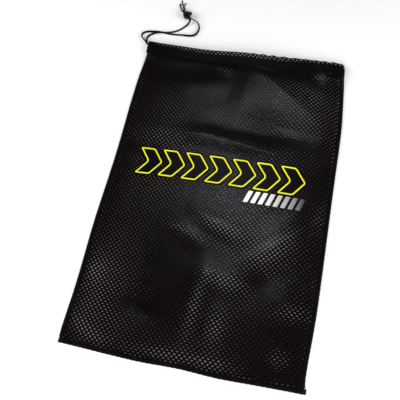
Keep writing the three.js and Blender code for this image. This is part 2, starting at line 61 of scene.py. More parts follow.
# Length of the lying bag over all, which the shares along it are taken of
BAG_LENGTH = 0.747
# Height above the whole bag, from which rays are shot down
ABOVE = 0.1
# How far a place just inside a grid's last cell lies from the number of its points
IN_LAST_CELL = 1.001
# Place, on the ground plan, where both strands leave the hem
HEM_EXIT = (-243.95, 368.0)
# Centre of the ball lock, and the turn of its bore
LOCK_CENTRE = Vector((-164.75, 463.4, 9.75)) * MM
LOCK_TURN = math.radians(38.8)


def linear(hex_colour: str) -> tuple[float, float, float, float]:
    """Turns an sRGB hex colour to linear values.

    Args:
        hex_colour: six hex digits.

    Returns:
        Red, green, blue and alpha, linear.
    """
    parts = [int(hex_colour[i:i + 2], 16) / 255 for i in (0, 2, 4)]
    values = [c / 12.92 if c <= 0.04045 else ((c + 0.055) / 1.055) ** 2.4 for c in parts]
    return (*values, 1.0)


def add_node(tree: NodeTree, kind: str, settings: dict[str, Any] | None = None,
             links: dict[Any, Output] | None = None) -> Node:
    """Adds one node with its settings and its incoming links.

    Args:
        tree: node tree that the node goes in.
        kind: the node's type name.
        settings: names of its sockets and of its own properties, with values.
        links: socket names or numbers, each with the node and the output that feed it.

    Returns:
        The new node.
    """
    node = tree.nodes.new(kind)
    for key, value in (settings or {}).items():
        if key in node.inputs:
            node.inputs[key].default_value = value
        else:
            setattr(node, key, value)
    for key, (source, output) in (links or {}).items():
        tree.links.new(source.outputs[output], node.inputs[key])
    return node


def smooth(t: Any) -> Any:
    """Eases a share from 0 to 1 with level ends."""
    s = np.clip(t, 0.0, 1.0)
    return s * s * (3 - 2 * s)


def new_piece(name: str, mesh: Mesh, body: str = BAG) -> Object:
    """Puts a mesh in the scene as a piece that rides on a body.

    Args:
        name: the piece's name.
        mesh: its mesh, already in place.
        body: the CAD body it rides on.

    Returns:
        The new object.
    """
    piece = bpy.data.objects.new(name, mesh)
    bpy.context.scene.collection.objects.link(piece)
    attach(piece, body)
    return piece


def mesh_from(bm: BMesh, name: str, is_smooth: bool = True) -> Mesh:
    """Writes a bmesh to a new mesh and frees it.

    Args:
        bm: the finished bmesh.
        name: name of the mesh.
        is_smooth: whether its faces are shaded smooth.

    Returns:
        The new mesh.
    """
    mesh = bpy.data.meshes.new(name)
    bm.to_mesh(mesh)
    bm.free()
    mesh.polygons.foreach_set("use_smooth", np.full(len(mesh.polygons), is_smooth))
    return mesh


def all_of(bm: BMesh) -> list[BMVert | BMEdge | BMFace]:
    """Every corner, edge and face of a bmesh."""
    return bm.verts[:] + bm.edges[:] + bm.faces[:]


def points_of(mesh: Mesh) -> np.ndarray:
    """Vertex places of a mesh as an array of three columns."""
    flat = np.empty(3 * len(mesh.vertices), np.float32)
    mesh.vertices.foreach_get("co", flat)
    return flat.reshape(-1, 3).astype(float)


def set_points(mesh: Mesh, points: np.ndarray) -> None:
    """Moves every vertex of a mesh to a new place."""
    mesh.vertices.foreach_set("co", points.astype(np.float32).ravel())
    mesh.update()


class Line(Enum):
    """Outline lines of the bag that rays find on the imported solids."""

    LEFT = "left"
    RIGHT = "right"
    FOOT = "foot"
    HEM = "hem"
    MOUTH = "mouth"


@dataclass
class BagForm:
    """Outline and upper surface of the lying bag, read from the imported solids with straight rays.

    Its sizes are where the rays stand, at which heights they meet the walls, the hem and its turn,
    and how far above the middle of the upper wall its skin lies.
    """

    cell: float = 4 * MM
    reach: float = 0.5
    stations_x: tuple[float, float] = (-0.235, 0.2345)
    stations_y: tuple[float, float] = (-0.366, 0.356)
    grid_x: tuple[float, float] = (-0.26, 0.2605)
    grid_y: tuple[float, float] = (-0.39, 0.3905)
    wall_end: float = 0.32
    hem_start: float = 0.342
    hem_line_z: float = 1 * MM
    belt_top_inset: float = 15 * MM
    least_top: float = 3.2 * MM
    half_wall: float = 0.6 * MM
    low_z: float = 0.6 * MM
    belt_z: float = 2.3 * MM
    skin_z: float = 0.5 * MM
    turn_z: float = 5.3 * MM
    settle_passes: int = 6
    trees: dict[str, BVHTree] = field(default_factory=dict)
    lines: dict[Line, tuple[np.ndarray, np.ndarray]] = field(default_factory=dict)
    heights: np.ndarray | None = None
    belt_tops: tuple[np.ndarray, np.ndarray] | None = None
    grid_start: tuple[float, float] = (0.0, 0.0)

    def ray(self, node: str, start: Sequence[float], way: Sequence[float]) -> Vector | None:
        """Shoots one ray at a CAD node.

        Args:
            node: the CAD node.
            start: where the ray starts.
            way: its direction.

        Returns:
            The place it meets first, or None.
        """
        if node not in self.trees:
            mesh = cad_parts[node].data
            corners = [v.co.copy() for v in mesh.vertices]
            faces = [tuple(p.vertices) for p in mesh.polygons]
            self.trees[node] = BVHTree.FromPolygons(corners, faces)
        return self.trees[node].ray_cast(Vector(start), Vector(way))[0]

    def trace(self, line: Line, shots: Iterable[tuple[float, str, Sequence[float],
                                                      Sequence[float]]], axis: int) -> None:
        """Records one outline line.

        Args:
            line: the line that is traced.
            shots: for each station, its place and the node, start and direction of its ray.
            axis: the coordinate that is kept from each hit.
        """
        found = []
        for station, node, start, way in shots:
            hit = self.ray(node, start, way)
            if hit is not None:
                found.append((station, hit[axis]))
        stations, values = np.array(found).T
        self.lines[line] = (stations, values)

    def read(self) -> "BagForm":
        """Traces the outline and samples the upper wall.

        Returns:
            The form itself.
        """
        ys = np.arange(*self.stations_y, self.cell)
        xs = np.arange(*self.stations_x, self.cell)
        far = self.reach
        for line, side, z in ((Line.LEFT, -1, self.skin_z), (Line.RIGHT, 1, self.turn_z)):
            wall = [(y, "back_panel", (side * far, y, self.low_z), (-side, 0, 0))
                    for y in ys if y < self.wall_end]
            hem = [(y, "hem_casing", (side * far, y, z), (-side, 0, 0))
                   for y in ys if y > self.hem_start]
            self.trace(line, wall + hem, 0)
        self.trace(Line.FOOT, [(x, "back_panel", (x, -far, self.low_z), (0, 1, 0)) for x in xs], 1)
        self.trace(Line.HEM, [(x, "hem_casing", (x, 0, self.hem_line_z), (0, 1, 0))
                              for x in xs], 1)
        self.trace(Line.MOUTH, [(x, "hem_casing", (x, far, self.belt_z), (0, -1, 0))
                                for x in xs], 1)
        back = self.at(Line.MOUTH, xs) - self.belt_top_inset
        tops = [(x, self.ray("hem_casing", (x, y, ABOVE), (0, 0, -1))) for x, y in zip(xs, back)]
        self.belt_tops = (np.array([x for x, hit in tops if hit]),
                          np.array([hit.z for _, hit in tops if hit]))
        self.sample_heights()
        return self

    def sample_heights(self) -> None:
        """Samples the upper wall's middle surface and smooths its facets away."""
        xs = np.arange(*self.grid_x, self.cell)
        ys = np.arange(*self.grid_y, self.cell)
        heights = np.full((len(ys), len(xs)), np.nan)
        for j, y in enumerate(ys):
            for i, x in enumerate(xs):
                top = self.ray("front_panel", (x, y, ABOVE), (0, 0, -1))
                if top is not None and top.z > self.least_top:
                    heights[j, i] = top.z - self.half_wall
        rows = [j for j in range(len(ys)) if np.isfinite(heights[j]).sum() > 1]
        for j in rows:
            known = np.isfinite(heights[j])
            heights[j] = np.interp(xs, xs[known], heights[j, known])
        for i in range(len(xs)):
            heights[:, i] = np.interp(ys, ys[rows], heights[rows, i])
        # Each pass smooths one way and turns the grid
        for _ in range(2 * self.settle_passes):
            wide = np.pad(heights, ((1, 1), (0, 0)), mode="edge")
            heights = ((wide[:-2] + 2 * wide[1:-1] + wide[2:]) / 4).T
        self.heights = heights
        self.grid_start = (xs[0], ys[0])

    def at(self, line: Line, station: Any) -> Any:
        """Place of an outline line at a station."""
        return np.interp(station, *self.lines[line])

    def height(self, x: np.ndarray, y: np.ndarray) -> np.ndarray:
        """Height of the upper wall's middle surface.

        Args:
            x: places across.
            y: places along.

        Returns:
            Heights at those places.
        """
        most_y, most_x = (count - IN_LAST_CELL for count in self.heights.shape)
        gx = np.clip((x - self.grid_start[0]) / self.cell, 0, most_x)
        gy = np.clip((y - self.grid_start[1]) / self.cell, 0, most_y)
        i, j = gx.astype(int), gy.astype(int)
        fx, fy = gx - i, gy - j
        low = self.heights[j, i] * (1 - fx) + self.heights[j, i + 1] * fx
        high = self.heights[j + 1, i] * (1 - fx) + self.heights[j + 1, i + 1] * fx
        return low * (1 - fy) + high * fy

    def from_edge(self, x: np.ndarray, y: np.ndarray) -> np.ndarray:
        """Distance of places from the nearest of the two sides and the foot."""
        sides = np.minimum(x - self.at(Line.LEFT, y), self.at(Line.RIGHT, y) - x)
        return np.minimum(sides, y - self.at(Line.FOOT, x))


# Rise at the ends of a crease, as a share of the rise at its middle
FOLD_END = 0.4


@dataclass(frozen=True)
class Fold:
    """One crease of the upper wall, from one end to the other, as shares across and along the bag.

    The rise of its crest is in millimetres, below 0 for a valley. The reaches of its flanks, to
    the mouth side and to the foot side, are shares of the bag's width.
    """

    x0: float
    y0: float
    x1: float
    y1: float
    rise: float
    mouth_side: float
    foot_side: float

    def height(self, x: np.ndarray, y: np.ndarray, width: float) -> np.ndarray:
        """Rise of this fold.

        Args:
            x: places across, from the bag's middle.
            y: places along, from the bag's middle.
            width: the bag's width.

        Returns:
            Rise at those places, in metres.
        """
        ax, ay = (self.x0 - 0.5) * width, (self.y0 - 0.5) * BAG_LENGTH
        dx, dy = (self.x1 - self.x0) * width, (self.y1 - self.y0) * BAG_LENGTH
        run = math.hypot(dx, dy)
        t = np.clip(((x - ax) * dx + (y - ay) * dy) / run ** 2, 0, 1)
        across = ((x - ax) * dy - (y - ay) * dx) / run
        to_mouth = (across < 0) == (dx >= 0)
        reach = width * np.where(to_mouth, self.mouth_side, self.foot_side)
        away = np.hypot(x - ax - t * dx, y - ay - t * dy) / reach
        ends = FOLD_END + (1 - FOLD_END) * np.sin(np.pi * t)
        return self.rise * MM * ends * np.clip(1 - away, 0, 1)


FINE_FOLDS = (
    Fold(0.56, 0.93, 0.93, 0.74, 4.0, 0.05, 0.15),
    Fold(0.53, 0.72, 0.55, 0.95, 2.2, 0.07, 0.14),
    Fold(0.54, 0.75, 0.86, 0.715, -2.5, 0.08, 0.05),
    Fold(0.84, 0.995, 0.985, 0.86, 6.0, 0.03, 0.06),
    Fold(0.06, 0.86, 0.33, 0.865, 4.5, 0.10, 0.15),
    Fold(0.10, 0.77, 0.46, 0.76, 1.2, 0.06, 0.08),
    Fold(0.04, 0.66, 0.45, 0.67, 3.5, 0.05, 0.06),
    Fold(0.50, 0.66, 0.88, 0.61, 3.5, 0.05, 0.06),
    Fold(0.05, 0.60, 0.12, 0.40, 2.5, 0.06, 0.06),
    Fold(0.46, 0.41, 0.66, 0.36, 2.2, 0.05, 0.05),
    Fold(0.34, 0.38, 0.52, 0.31, 1.6, 0.05, 0.05),
    Fold(0.70, 0.31, 0.92, 0.43, 2.6, 0.04, 0.05),
    Fold(0.50, 0.25, 0.70, 0.22, 2.2, 0.05, 0.06),
    Fold(0.505, 0.05, 0.53, 0.25, 3.5, 0.05, 0.05),
    Fold(0.64, 0.05, 0.62, 0.17, 2.5, 0.05, 0.05),
    Fold(0.05, 0.16, 0.16, 0.04, 1.6, 0.05, 0.04),
    Fold(0.20, 0.17, 0.40, 0.10, -3.0, 0.06, 0.06),
    Fold(0.82, 0.22, 0.96, 0.18, 3.0, 0.05, 0.05),
    Fold(0.80, 0.10, 0.93, 0.06, 3.0, 0.05, 0.05),
)


@dataclass(frozen=True)
class Patch:
    """A patch where the holes of both walls line up for a viewer at the foot end, or don't.

    Its place and reach are shares of the bag's width and length, and its turn is in degrees. The
    holes line up fully at a strength of 1, and below 0 the strands cover each other's holes more.
    """

    x: float
    y: float
    half_width: float
    half_length: float
    turn: float
    strength: float

    def share(self, u: np.ndarray, v: np.ndarray, aspect: float) -> np.ndarray:
        """Strength of the patch.

        Args:
            u: shares across the bag.
            v: shares along it.
            aspect: the bag's length over its width.

        Returns:
            Strength at those places.
        """
        c, s = math.cos(math.radians(self.turn)), math.sin(math.radians(self.turn))
        dx, dy = u - self.x, (v - self.y) * aspect
        along = (dx * c + dy * s) / self.half_width
        across = (dy * c - dx * s) / self.half_length
        return self.strength * np.exp(-(along ** 2 + across ** 2))


NET_PATCHES = (
    Patch(0.56, 0.385, 0.09, 0.025, -15, 1.0),
    Patch(0.43, 0.355, 0.10, 0.02, -18, 0.9),
    Patch(0.60, 0.24, 0.09, 0.03, -12, 1.0),
    Patch(0.515, 0.16, 0.025, 0.12, -6, 1.0),
    Patch(0.61, 0.12, 0.035, 0.07, 0, 0.9),
    Patch(0.80, 0.37, 0.09, 0.02, 40, 0.9),
    Patch(0.78, 0.33, 0.09, 0.02, 38, 0.7),
    Patch(0.95, 0.46, 0.03, 0.08, 0, 0.9),
    Patch(0.90, 0.19, 0.07, 0.03, 10, 0.7),
    Patch(0.87, 0.07, 0.05, 0.04, 0, 0.8),
    Patch(0.10, 0.05, 0.10, 0.025, -30, 1.0),
    Patch(0.42, 0.03, 0.09, 0.02, 0, 0.9),
    Patch(0.62, 0.03, 0.12, 0.02, 0, 0.8),
    Patch(0.08, 0.21, 0.04, 0.05, 0, 0.7),
    Patch(0.62, 0.70, 0.16, 0.03, -5, 0.7),
    Patch(0.43, 0.90, 0.09, 0.03, -30, 0.7),
    Patch(0.93, 0.955, 0.04, 0.03, 0, 1.2),
    Patch(0.28, 0.80, 0.34, 0.25, 0, -0.4),
    Patch(0.22, 0.95, 0.22, 0.022, 3, 1.3),
    Patch(0.24, 0.895, 0.20, 0.03, 0, -0.8),
    Patch(0.50, 0.83, 0.035, 0.10, 0, -0.9),
    Patch(0.78, 0.91, 0.20, 0.05, -12, -0.8),
    Patch(0.68, 0.68, 0.20, 0.025, -5, -0.8),
    Patch(0.28, 0.135, 0.09, 0.03, 0, -0.8),
    Patch(0.05, 0.60, 0.06, 0.03, 0, -0.6),
    Patch(0.75, 0.25, 0.07, 0.04, -45, -0.7),
)


@dataclass
class KnittedNet:
    """Warp-knitted net: rows of holes that stand half a pitch apart, between rounded strands."""

    pitch: float = 10.29 * MM
    crown: float = 0.8 * MM
    hole_half_width: float = 2.0 * MM
    hole_half_height: float = 2.0 * MM
    hole_crown: float = 0.9 * MM
    thickness: float = 0.4 * MM
    cut_from: tuple[float, float] = (-1.0 * MM, -0.5 * MM)

    def flat(self, width: float, length: float, name: str) -> Mesh:
        """Knits a flat rectangle of net from its lower left corner.

        Args:
            width: size across.
            length: size along.
            name: name of the mesh.

        Returns:
            A closed mesh whose strands are lens-shaped, with its flat places as its UV map.
        """
        bm = bmesh.new()
        self.knit_cell(bm)
        columns = math.ceil(width / self.pitch) + 2
        rows = math.ceil(length / self.pitch) + 2
        self.repeat(bm, columns, Vector((self.pitch, 0, 0)))
        self.repeat(bm, rows, Vector((0, self.pitch, 0)))
        bmesh.ops.remove_doubles(bm, verts=bm.verts, dist=MERGE)
        self.round_strands(bm)
        bmesh.ops.translate(bm, verts=bm.verts, vec=(*self.cut_from, 0))
        half = self.pitch / 2
        wide, long = round(width / half) * half, round(length / half) * half
        for corner, way in (((0, 0, 0), (-1, 0, 0)), ((0, 0, 0), (0, -1, 0)),
                            ((wide, 0, 0), (1, 0, 0)), ((0, long, 0), (0, 1, 0))):
            bmesh.ops.bisect_plane(bm, geom=all_of(bm), dist=ON_PLANE, plane_co=corner,
                                   plane_no=way, clear_outer=True)
        rims = [e for e in bm.edges if e.is_boundary]
        bmesh.ops.holes_fill(bm, edges=rims, sides=0)
        bmesh.ops.scale(bm, verts=bm.verts, vec=(width / wide, length / long, 1))
        mesh = mesh_from(bm, name)
        self.lay_uv(mesh)
        return mesh

    def knit_cell(self, bm: BMesh) -> None:
        """Makes one hole with its strand halves, and its neighbour half a pitch away.

        Args:
            bm: the bmesh.
        """
        half = self.pitch / 2
        for place in ((0, 0), (half, half)):
            ring = bmesh.ops.create_circle(bm, cap_ends=True, segments=6, radius=half)["verts"]
            self.shape_ring(ring, half, self.crown, half - self.crown)
            face = ring[0].link_faces[0]
            bmesh.ops.inset_individual(bm, faces=[face], thickness=half / 3)
            inner = list(face.verts)
            self.shape_ring(inner, self.hole_half_width, self.hole_crown, self.hole_half_height)
            bmesh.ops.delete(bm, geom=[face], context="FACES_ONLY")
            bmesh.ops.translate(bm, verts=ring + inner, vec=(place[0], place[1], 0))

    @staticmethod
    def shape_ring(ring: Sequence[BMVert], half_width: float, side: float,
                   tip: float) -> None:
        """Shapes six corners: two tips on the Y axis and two upright sides.

        Args:
            ring: the corners.
            half_width: distance of the sides from the middle.
            side: half the height of the sides.
            tip: distance of the tips from the middle.
        """
        for vert in ring:
            on_axis = abs(vert.co.x) < 0.2 * abs(vert.co.y)
            high = tip if on_axis else side
            wide = 0.0 if on_axis else math.copysign(half_width, vert.co.x)
            vert.co = Vector((wide, math.copysign(high, vert.co.y), 0))

    @staticmethod
    def repeat(bm: BMesh, count: int, step: Vector) -> None:
        """Copies all that is there until it stands count times in a line.

        Args:
            bm: the bmesh.
            count: how often it stands there in the end.
            step: from one copy to the next.
        """
        first = all_of(bm)
        done = 1
        while done < count:
            copies = 1 if count - done < done else done
            made = bmesh.ops.duplicate(bm, geom=first if copies == 1 else all_of(bm))["geom"]
            verts = [v for v in made if isinstance(v, BMVert)]
            bmesh.ops.translate(bm, verts=verts, vec=step * done)
            done += copies

    def round_strands(self, bm: BMesh) -> None:
        """Gives the strands a lens section: a ridge above and below, between sharp hole edges.

        Args:
            bm: the bmesh, a net of one layer.
        """
        ridges = [v for v in bm.verts if not self.on_hole(v)]
        bmesh.ops.translate(bm, verts=ridges, vec=(0, 0, self.thickness / 2))
        made = bmesh.ops.duplicate(bm, geom=all_of(bm))["geom"]
        verts = [v for v in made if isinstance(v, BMVert)]
        faces = [f for f in made if isinstance(f, BMFace)]
        bmesh.ops.scale(bm, verts=verts, vec=(1, 1, -1))
        bmesh.ops.reverse_faces(bm, faces=faces)
        bmesh.ops.remove_doubles(bm, verts=bm.verts, dist=MERGE)
        for edge in bm.edges:
            edge.smooth = max(abs(v.co.z) for v in edge.verts) > MERGE

    @staticmethod
    def on_hole(vert: BMVert) -> bool:
        """Whether a corner of the one-layer net lies on the edge of a hole."""
        return vert.is_boundary and len(vert.link_edges) == 3

    @staticmethod
    def lay_uv(mesh: Mesh) -> None:
        """Writes the flat places, in metres, as the mesh's UV map."""
        places = points_of(mesh)[:, :2]
        corners = np.empty(len(mesh.loops), np.int32)
        mesh.loops.foreach_get("vertex_index", corners)
        layer = mesh.uv_layers.new(name="Cloth")
        layer.data.foreach_set("uv", places[corners].astype(np.float32).ravel())

    @staticmethod
    def drape(mesh: Mesh, place: Callable[[np.ndarray, np.ndarray], np.ndarray]) -> None:
        """Lays a flat mesh on a surface, keeping each point's distance from the middle plane.

        Args:
            mesh: a flat mesh.
            place: gives the surface's point for flat places across and along.
        """
        flat = points_of(mesh)
        step = 0.5 * MM
        x, y, lift = flat.T
        middle = place(x, y)
        across = place(x + step, y) - place(x - step, y)
        along = place(x, y + step) - place(x, y - step)
        normal = np.cross(across, along)
        normal /= np.linalg.norm(normal, axis=1)[:, None]
        set_points(mesh, middle + normal * lift[:, None])


@dataclass
class Studio:
    """White floor, one small softbox past the mouth, wide fills and the photograph's camera.

    The strands mirror the softbox alone, so that only the folds that face it shine: the fills
    light the floor and the print, and don't show in reflections.
    """

    lens: float = 44.318
    sensor: float = 36.0
    near: float = 0.02
    place: Point = (0.14571, -0.40937, 0.97079)
    right: Point = (0.97446593, 0.20299019, -0.09597461)
    up: Point = (-0.15134688, 0.90955063, 0.38705526)
    back: Point = (0.16586219, -0.36264671, 0.91704804)
    floor_size: float = 8.0
    floor_drop: float = 0.15 * MM
    softbox_place: Point = (-0.16, 0.80, 1.7)
    softbox_size: float = 0.42
    softbox_power: float = 3.15
    softbox_colour: Point = (0.86, 0.92, 1.0)
    fill_places: tuple[Point, ...] = ((-2.1, -0.3, 1.2), (2.1, -0.3, 1.2), (0.1, -2.2, 1.3))
    fill_size: float = 1.5
    fill_power: float = 50.0
    room_colour: str = "F4F6FA"
    room_light: float = 0.08

    def build(self) -> None:
        """Sets the camera, the floor, the lights and the room's own light."""
        self.set_camera()
        self.lay_floor()
        softbox = self.hang_light("softbox", self.softbox_place, self.softbox_size,
                                  self.softbox_power)
        softbox.data.color = self.softbox_colour
        for name, place in zip(("left", "right", "foot"), self.fill_places):
            fill = self.hang_light(f"fill_{name}", place, self.fill_size, self.fill_power)
            fill.visible_glossy = False
        world = bpy.data.worlds.new("pale_room")
        world.use_nodes = True
        shade = world.node_tree.nodes["Background"]
        shade.inputs["Color"].default_value = linear(self.room_colour)
        shade.inputs["Strength"].default_value = self.room_light
        bpy.context.scene.world = world
        bpy.context.scene.view_settings.view_transform = "Standard"

    def set_camera(self) -> None:
        """Makes the camera and puts it where the photograph was taken from."""
        data = bpy.data.cameras.new("camera")
        data.lens = self.lens
        data.sensor_width = self.sensor
        data.clip_start = self.near
        camera = bpy.data.objects.new("camera", data)
        bpy.context.scene.collection.objects.link(camera)
        axes = Matrix((self.right, self.up, self.back)).transposed().to_4x4()
        camera.matrix_world = Matrix.Translation(self.place) @ axes
        bpy.context.scene.camera = camera

    def lay_floor(self) -> None:
        """Lays the floor just under the bag."""
        bm = bmesh.new()
        bmesh.ops.create_grid(bm, x_segments=1, y_segments=1, size=self.floor_size / 2)
        bmesh.ops.translate(bm, verts=bm.verts, vec=(0, 0, -self.floor_drop))
        floor = bpy.data.objects.new("floor", mesh_from(bm, "floor", False))
        bpy.context.scene.collection.objects.link(floor)
        floor.data.materials.append(StudioPaper().material())

    @staticmethod
    def hang_light(name: str, place: Point, size: float, power: float) -> Object:
        """Hangs one square soft light that faces the middle of the bag.

        Args:
            name: the light's name.
            place: where it hangs.
            size: side of its square, in metres.
            power: its power in watts.

        Returns:
            The light.
        """
        data = bpy.data.lights.new(name, "AREA")
        data.shape, data.size, data.energy = "SQUARE", size, power
        light = bpy.data.objects.new(name, data)
        bpy.context.scene.collection.objects.link(light)
        light.location = place
        light.rotation_euler = Vector(place).to_track_quat("Z", "Y").to_euler()
        return light


@dataclass(frozen=True)
class Finish:
    """A procedural finish: two colours, roughness, gloss and a relief, spread by a pattern.

    Where both colours are alike, or the roughness has no span, that input is plain.
    """

    name: str
    first: str
    last: str
    roughness: float
    rough_span: tuple[float, float] | None = None
    gloss: float = 0.5
    stops: tuple[float, float] = (0.0, 1.0)
    relief: float = 0.0
    strength: float = 0.5

    def pattern(self, tree: NodeTree, place: Node) -> tuple[Output | None, Output | None]:
        """Draws no pattern.

        Args:
            tree: the material's node tree.
            place: its coordinates.

        Returns:
            What gives the relief's height, and what gives the share from the first colour to the last.
        """
        return None, None

    def crossed_ribs(self, tree: NodeTree, place: Output, turn: float, pitch: float, join: str,
                     wave: dict[str, float] | None = None) -> Output:
        """Draws two sets of straight ribs that cross each other.

        Args:
            tree: the material's node tree.
            place: what gives the coordinates.
            turn: how far each set is turned, one either way, in degrees.
            pitch: distance from rib to rib.
            join: the math operation that joins both sets.
            wave: further settings of the ribs.

        Returns:
            What gives the pattern's value.
        """
        sets = {}
        for k, angle in enumerate((turn, -turn)):
            turned = add_node(tree, "ShaderNodeMapping",
                              {"Rotation": (0, 0, math.radians(angle))}, {"Vector": place})
            ribs = add_node(tree, "ShaderNodeTexWave",
                            {"Scale": WAVE_PERIOD / pitch, **(wave or {})},
                            {"Vector": (turned, "Vector")})
            sets[k] = (ribs, "Fac")
        return add_node(tree, "ShaderNodeMath", {"operation": join}, sets), "Value"

    def material(self) -> Material:
        """Makes the material.

        Returns:
            The material, fed by its pattern.
        """
        material = bpy.data.materials.new(self.name)
        material.use_nodes = True
        tree = material.node_tree
        tree.nodes.clear()
        height, share = self.pattern(tree, add_node(tree, "ShaderNodeTexCoord"))
        settings = {"Base Color": linear(self.last), "Roughness": self.roughness,
                    "Specular IOR Level": self.gloss}
        links = {}
        if height:
            bump = add_node(tree, "ShaderNodeBump", {"Strength": self.strength,
                                                     "Distance": self.relief}, {"Height": height})
            links["Normal"] = (bump, "Normal")
        if self.first != self.last:
            ramp = add_node(tree, "ShaderNodeValToRGB", links={"Fac": share})
            for end, stop, colour in zip(ramp.color_ramp.elements, self.stops,
                                         (self.first, self.last)):
                end.position, end.color = stop, linear(colour)
            links["Base Color"] = (ramp, "Color")
        if self.rough_span:
            least, most = (self.roughness + change for change in self.rough_span)
            rough = add_node(tree, "ShaderNodeMapRange", {"To Min": least, "To Max": most},
                             {"Value": share})
            links["Roughness"] = (rough, "Result")
        shader = add_node(tree, "ShaderNodeBsdfPrincipled", settings, links)
        add_node(tree, "ShaderNodeOutputMaterial", links={"Surface": (shader, "BSDF")})
        return material


@dataclass(frozen=True)
class StudioPaper(Finish):
    """Matt white background paper: reads as plain white under the soft light."""

    name: str = "background_paper"
    first: str = "F6F6F4"
    last: str = "F6F6F4"
    roughness: float = 0.9
    gloss: float = 0.0


@dataclass(frozen=True)
class PolyesterKnit(Finish):
    """Black filament polyester, warp-knitted: near black, with a soft gloss along lit folds.

    Its yarns are drawn as coarse ribs on the flat UV map, as the real ones are too fine to show.
    """

    name: str = "polyester_knit"
    first: str = "080404"
    last: str = "0D0707"
    roughness: float = 0.28
    rough_span: tuple[float, float] | None = (-0.05, 0.08)
    gloss: float = 0.3
    stops: tuple[float, float] = (0.35, 0.7)
    relief: float = 0.03 * MM
    yarn: float = 1.1 * MM
    cloud: float = 60 * MM

    def pattern(self, tree: NodeTree, place: Node) -> tuple[Output, Output]:
        """Draws crossed yarns, and clouds of slightly paler and rougher knit."""
        yarns = self.crossed_ribs(tree, (place, "UV"), 45, self.yarn, "MAXIMUM",
                                  {"Distortion": 0.6, "Detail": 1.0})
        return yarns, (add_node(tree, "ShaderNodeTexNoise",
                                {"Scale": 1 / self.cloud, "Detail": 3.0},
                                {"Vector": (place, "UV")}), "Fac")


@dataclass(frozen=True)
class OverlockThread(Finish):
    """Spun polyester thread over a turned edge: dull black, with a fine twist."""

    name: str = "overlock_thread"
    first: str = "070708"
    last: str = "101013"
    roughness: float = 0.62
    relief: float = 0.15 * MM
    strength: float = 0.6
    twist: float = 1.6 * MM

    def pattern(self, tree: NodeTree, place: Node) -> tuple[Output, Output]:
        """Draws the slanted twist of the thread, on Object coordinates."""
        twist = add_node(tree, "ShaderNodeTexWave",
                         {"Scale": WAVE_PERIOD / self.twist, "bands_direction": "DIAGONAL",
                          "Distortion": 1.2}, {"Vector": (place, "Object")}), "Fac"
        return twist, twist


@dataclass(frozen=True)
class BraidedCord(Finish):
    """Flat braided polyester cord: black, with a herringbone of fine plaits and a dull gloss."""

    name: str = "braided_cord"
    first: str = "030303"
    last: str = "0D0D0F"
    roughness: float = 0.5
    gloss: float = 0.25
    relief: float = 0.2 * MM
    strength: float = 0.7
    plait: float = 1.4 * MM

    def pattern(self, tree: NodeTree, place: Node) -> tuple[Output, Output]:
        """Draws crossed plaits, on Object coordinates."""
        plaits = self.crossed_ribs(tree, (place, "Object"), 35, self.plait, "MAXIMUM")
        return plaits, plaits


@dataclass(frozen=True)
class MouldedPolypropylene(Finish):
    """Injection-moulded polypropylene: black, satin, with a faint grain and soft highlights."""

    name: str = "moulded_polypropylene"
    first: str = "060606"
    last: str = "060606"
    roughness: float = 0.36
    rough_span: tuple[float, float] | None = (-0.04, 0.1)
    relief: float = 0.05 * MM
    strength: float = 0.25
    grain: float = 0.5 * MM

    def pattern(self, tree: NodeTree, place: Node) -> tuple[Output, Output]:
        """Draws the mould's grain, on Object coordinates."""
        grain = add_node(tree, "ShaderNodeTexNoise", {"Scale": 1 / self.grain, "Detail": 4.0},
                         {"Vector": (place, "Object")}), "Fac"
        return grain, grain


@dataclass(frozen=True)
class ScreenPrint(Finish):
    """Screen-printed vinyl ink on the knit: a flat, slightly glossy film that shows the holes
    beneath as shallow dimples. Its colours are specks, or fade into each other across the bag."""

    name: str = "screen_print"
    first: str = "DAD61C"
    last: str = "E9E51F"
    roughness: float = 0.42
    gloss: float = 0.2
    stops: tuple[float, float] = (0.3, 0.5)
    relief: float = 0.25 * MM
    hole_pitch: float = 7.28 * MM
    speck: float = 1.5 * MM
    fade_across: tuple[float, float] | None = None

    def pattern(self, tree: NodeTree, place: Node) -> tuple[Output, Output]:
        """Draws the dimples and the specks on the flat UV map, or the fade on Object coordinates.

        Args:
            tree: the material's node tree.
            place: its coordinates.

        Returns:
            The dimples, and the specks or the fade.
        """
        holes = self.crossed_ribs(tree, (place, "UV"), 45, self.hole_pitch, "MULTIPLY")
        if self.fade_across is None:
            return holes, (add_node(tree, "ShaderNodeTexNoise",
                                    {"Scale": 1 / self.speck, "Detail": 2.0},
                                    {"Vector": (place, "UV")}), "Fac")
        start, end = self.fade_across
        parts = add_node(tree, "ShaderNodeSeparateXYZ", links={"Vector": (place, "Object")})
        return holes, (add_node(tree, "ShaderNodeMapRange", {"From Min": start, "From Max": end},
                                {"Value": (parts, "X")}), "Result")


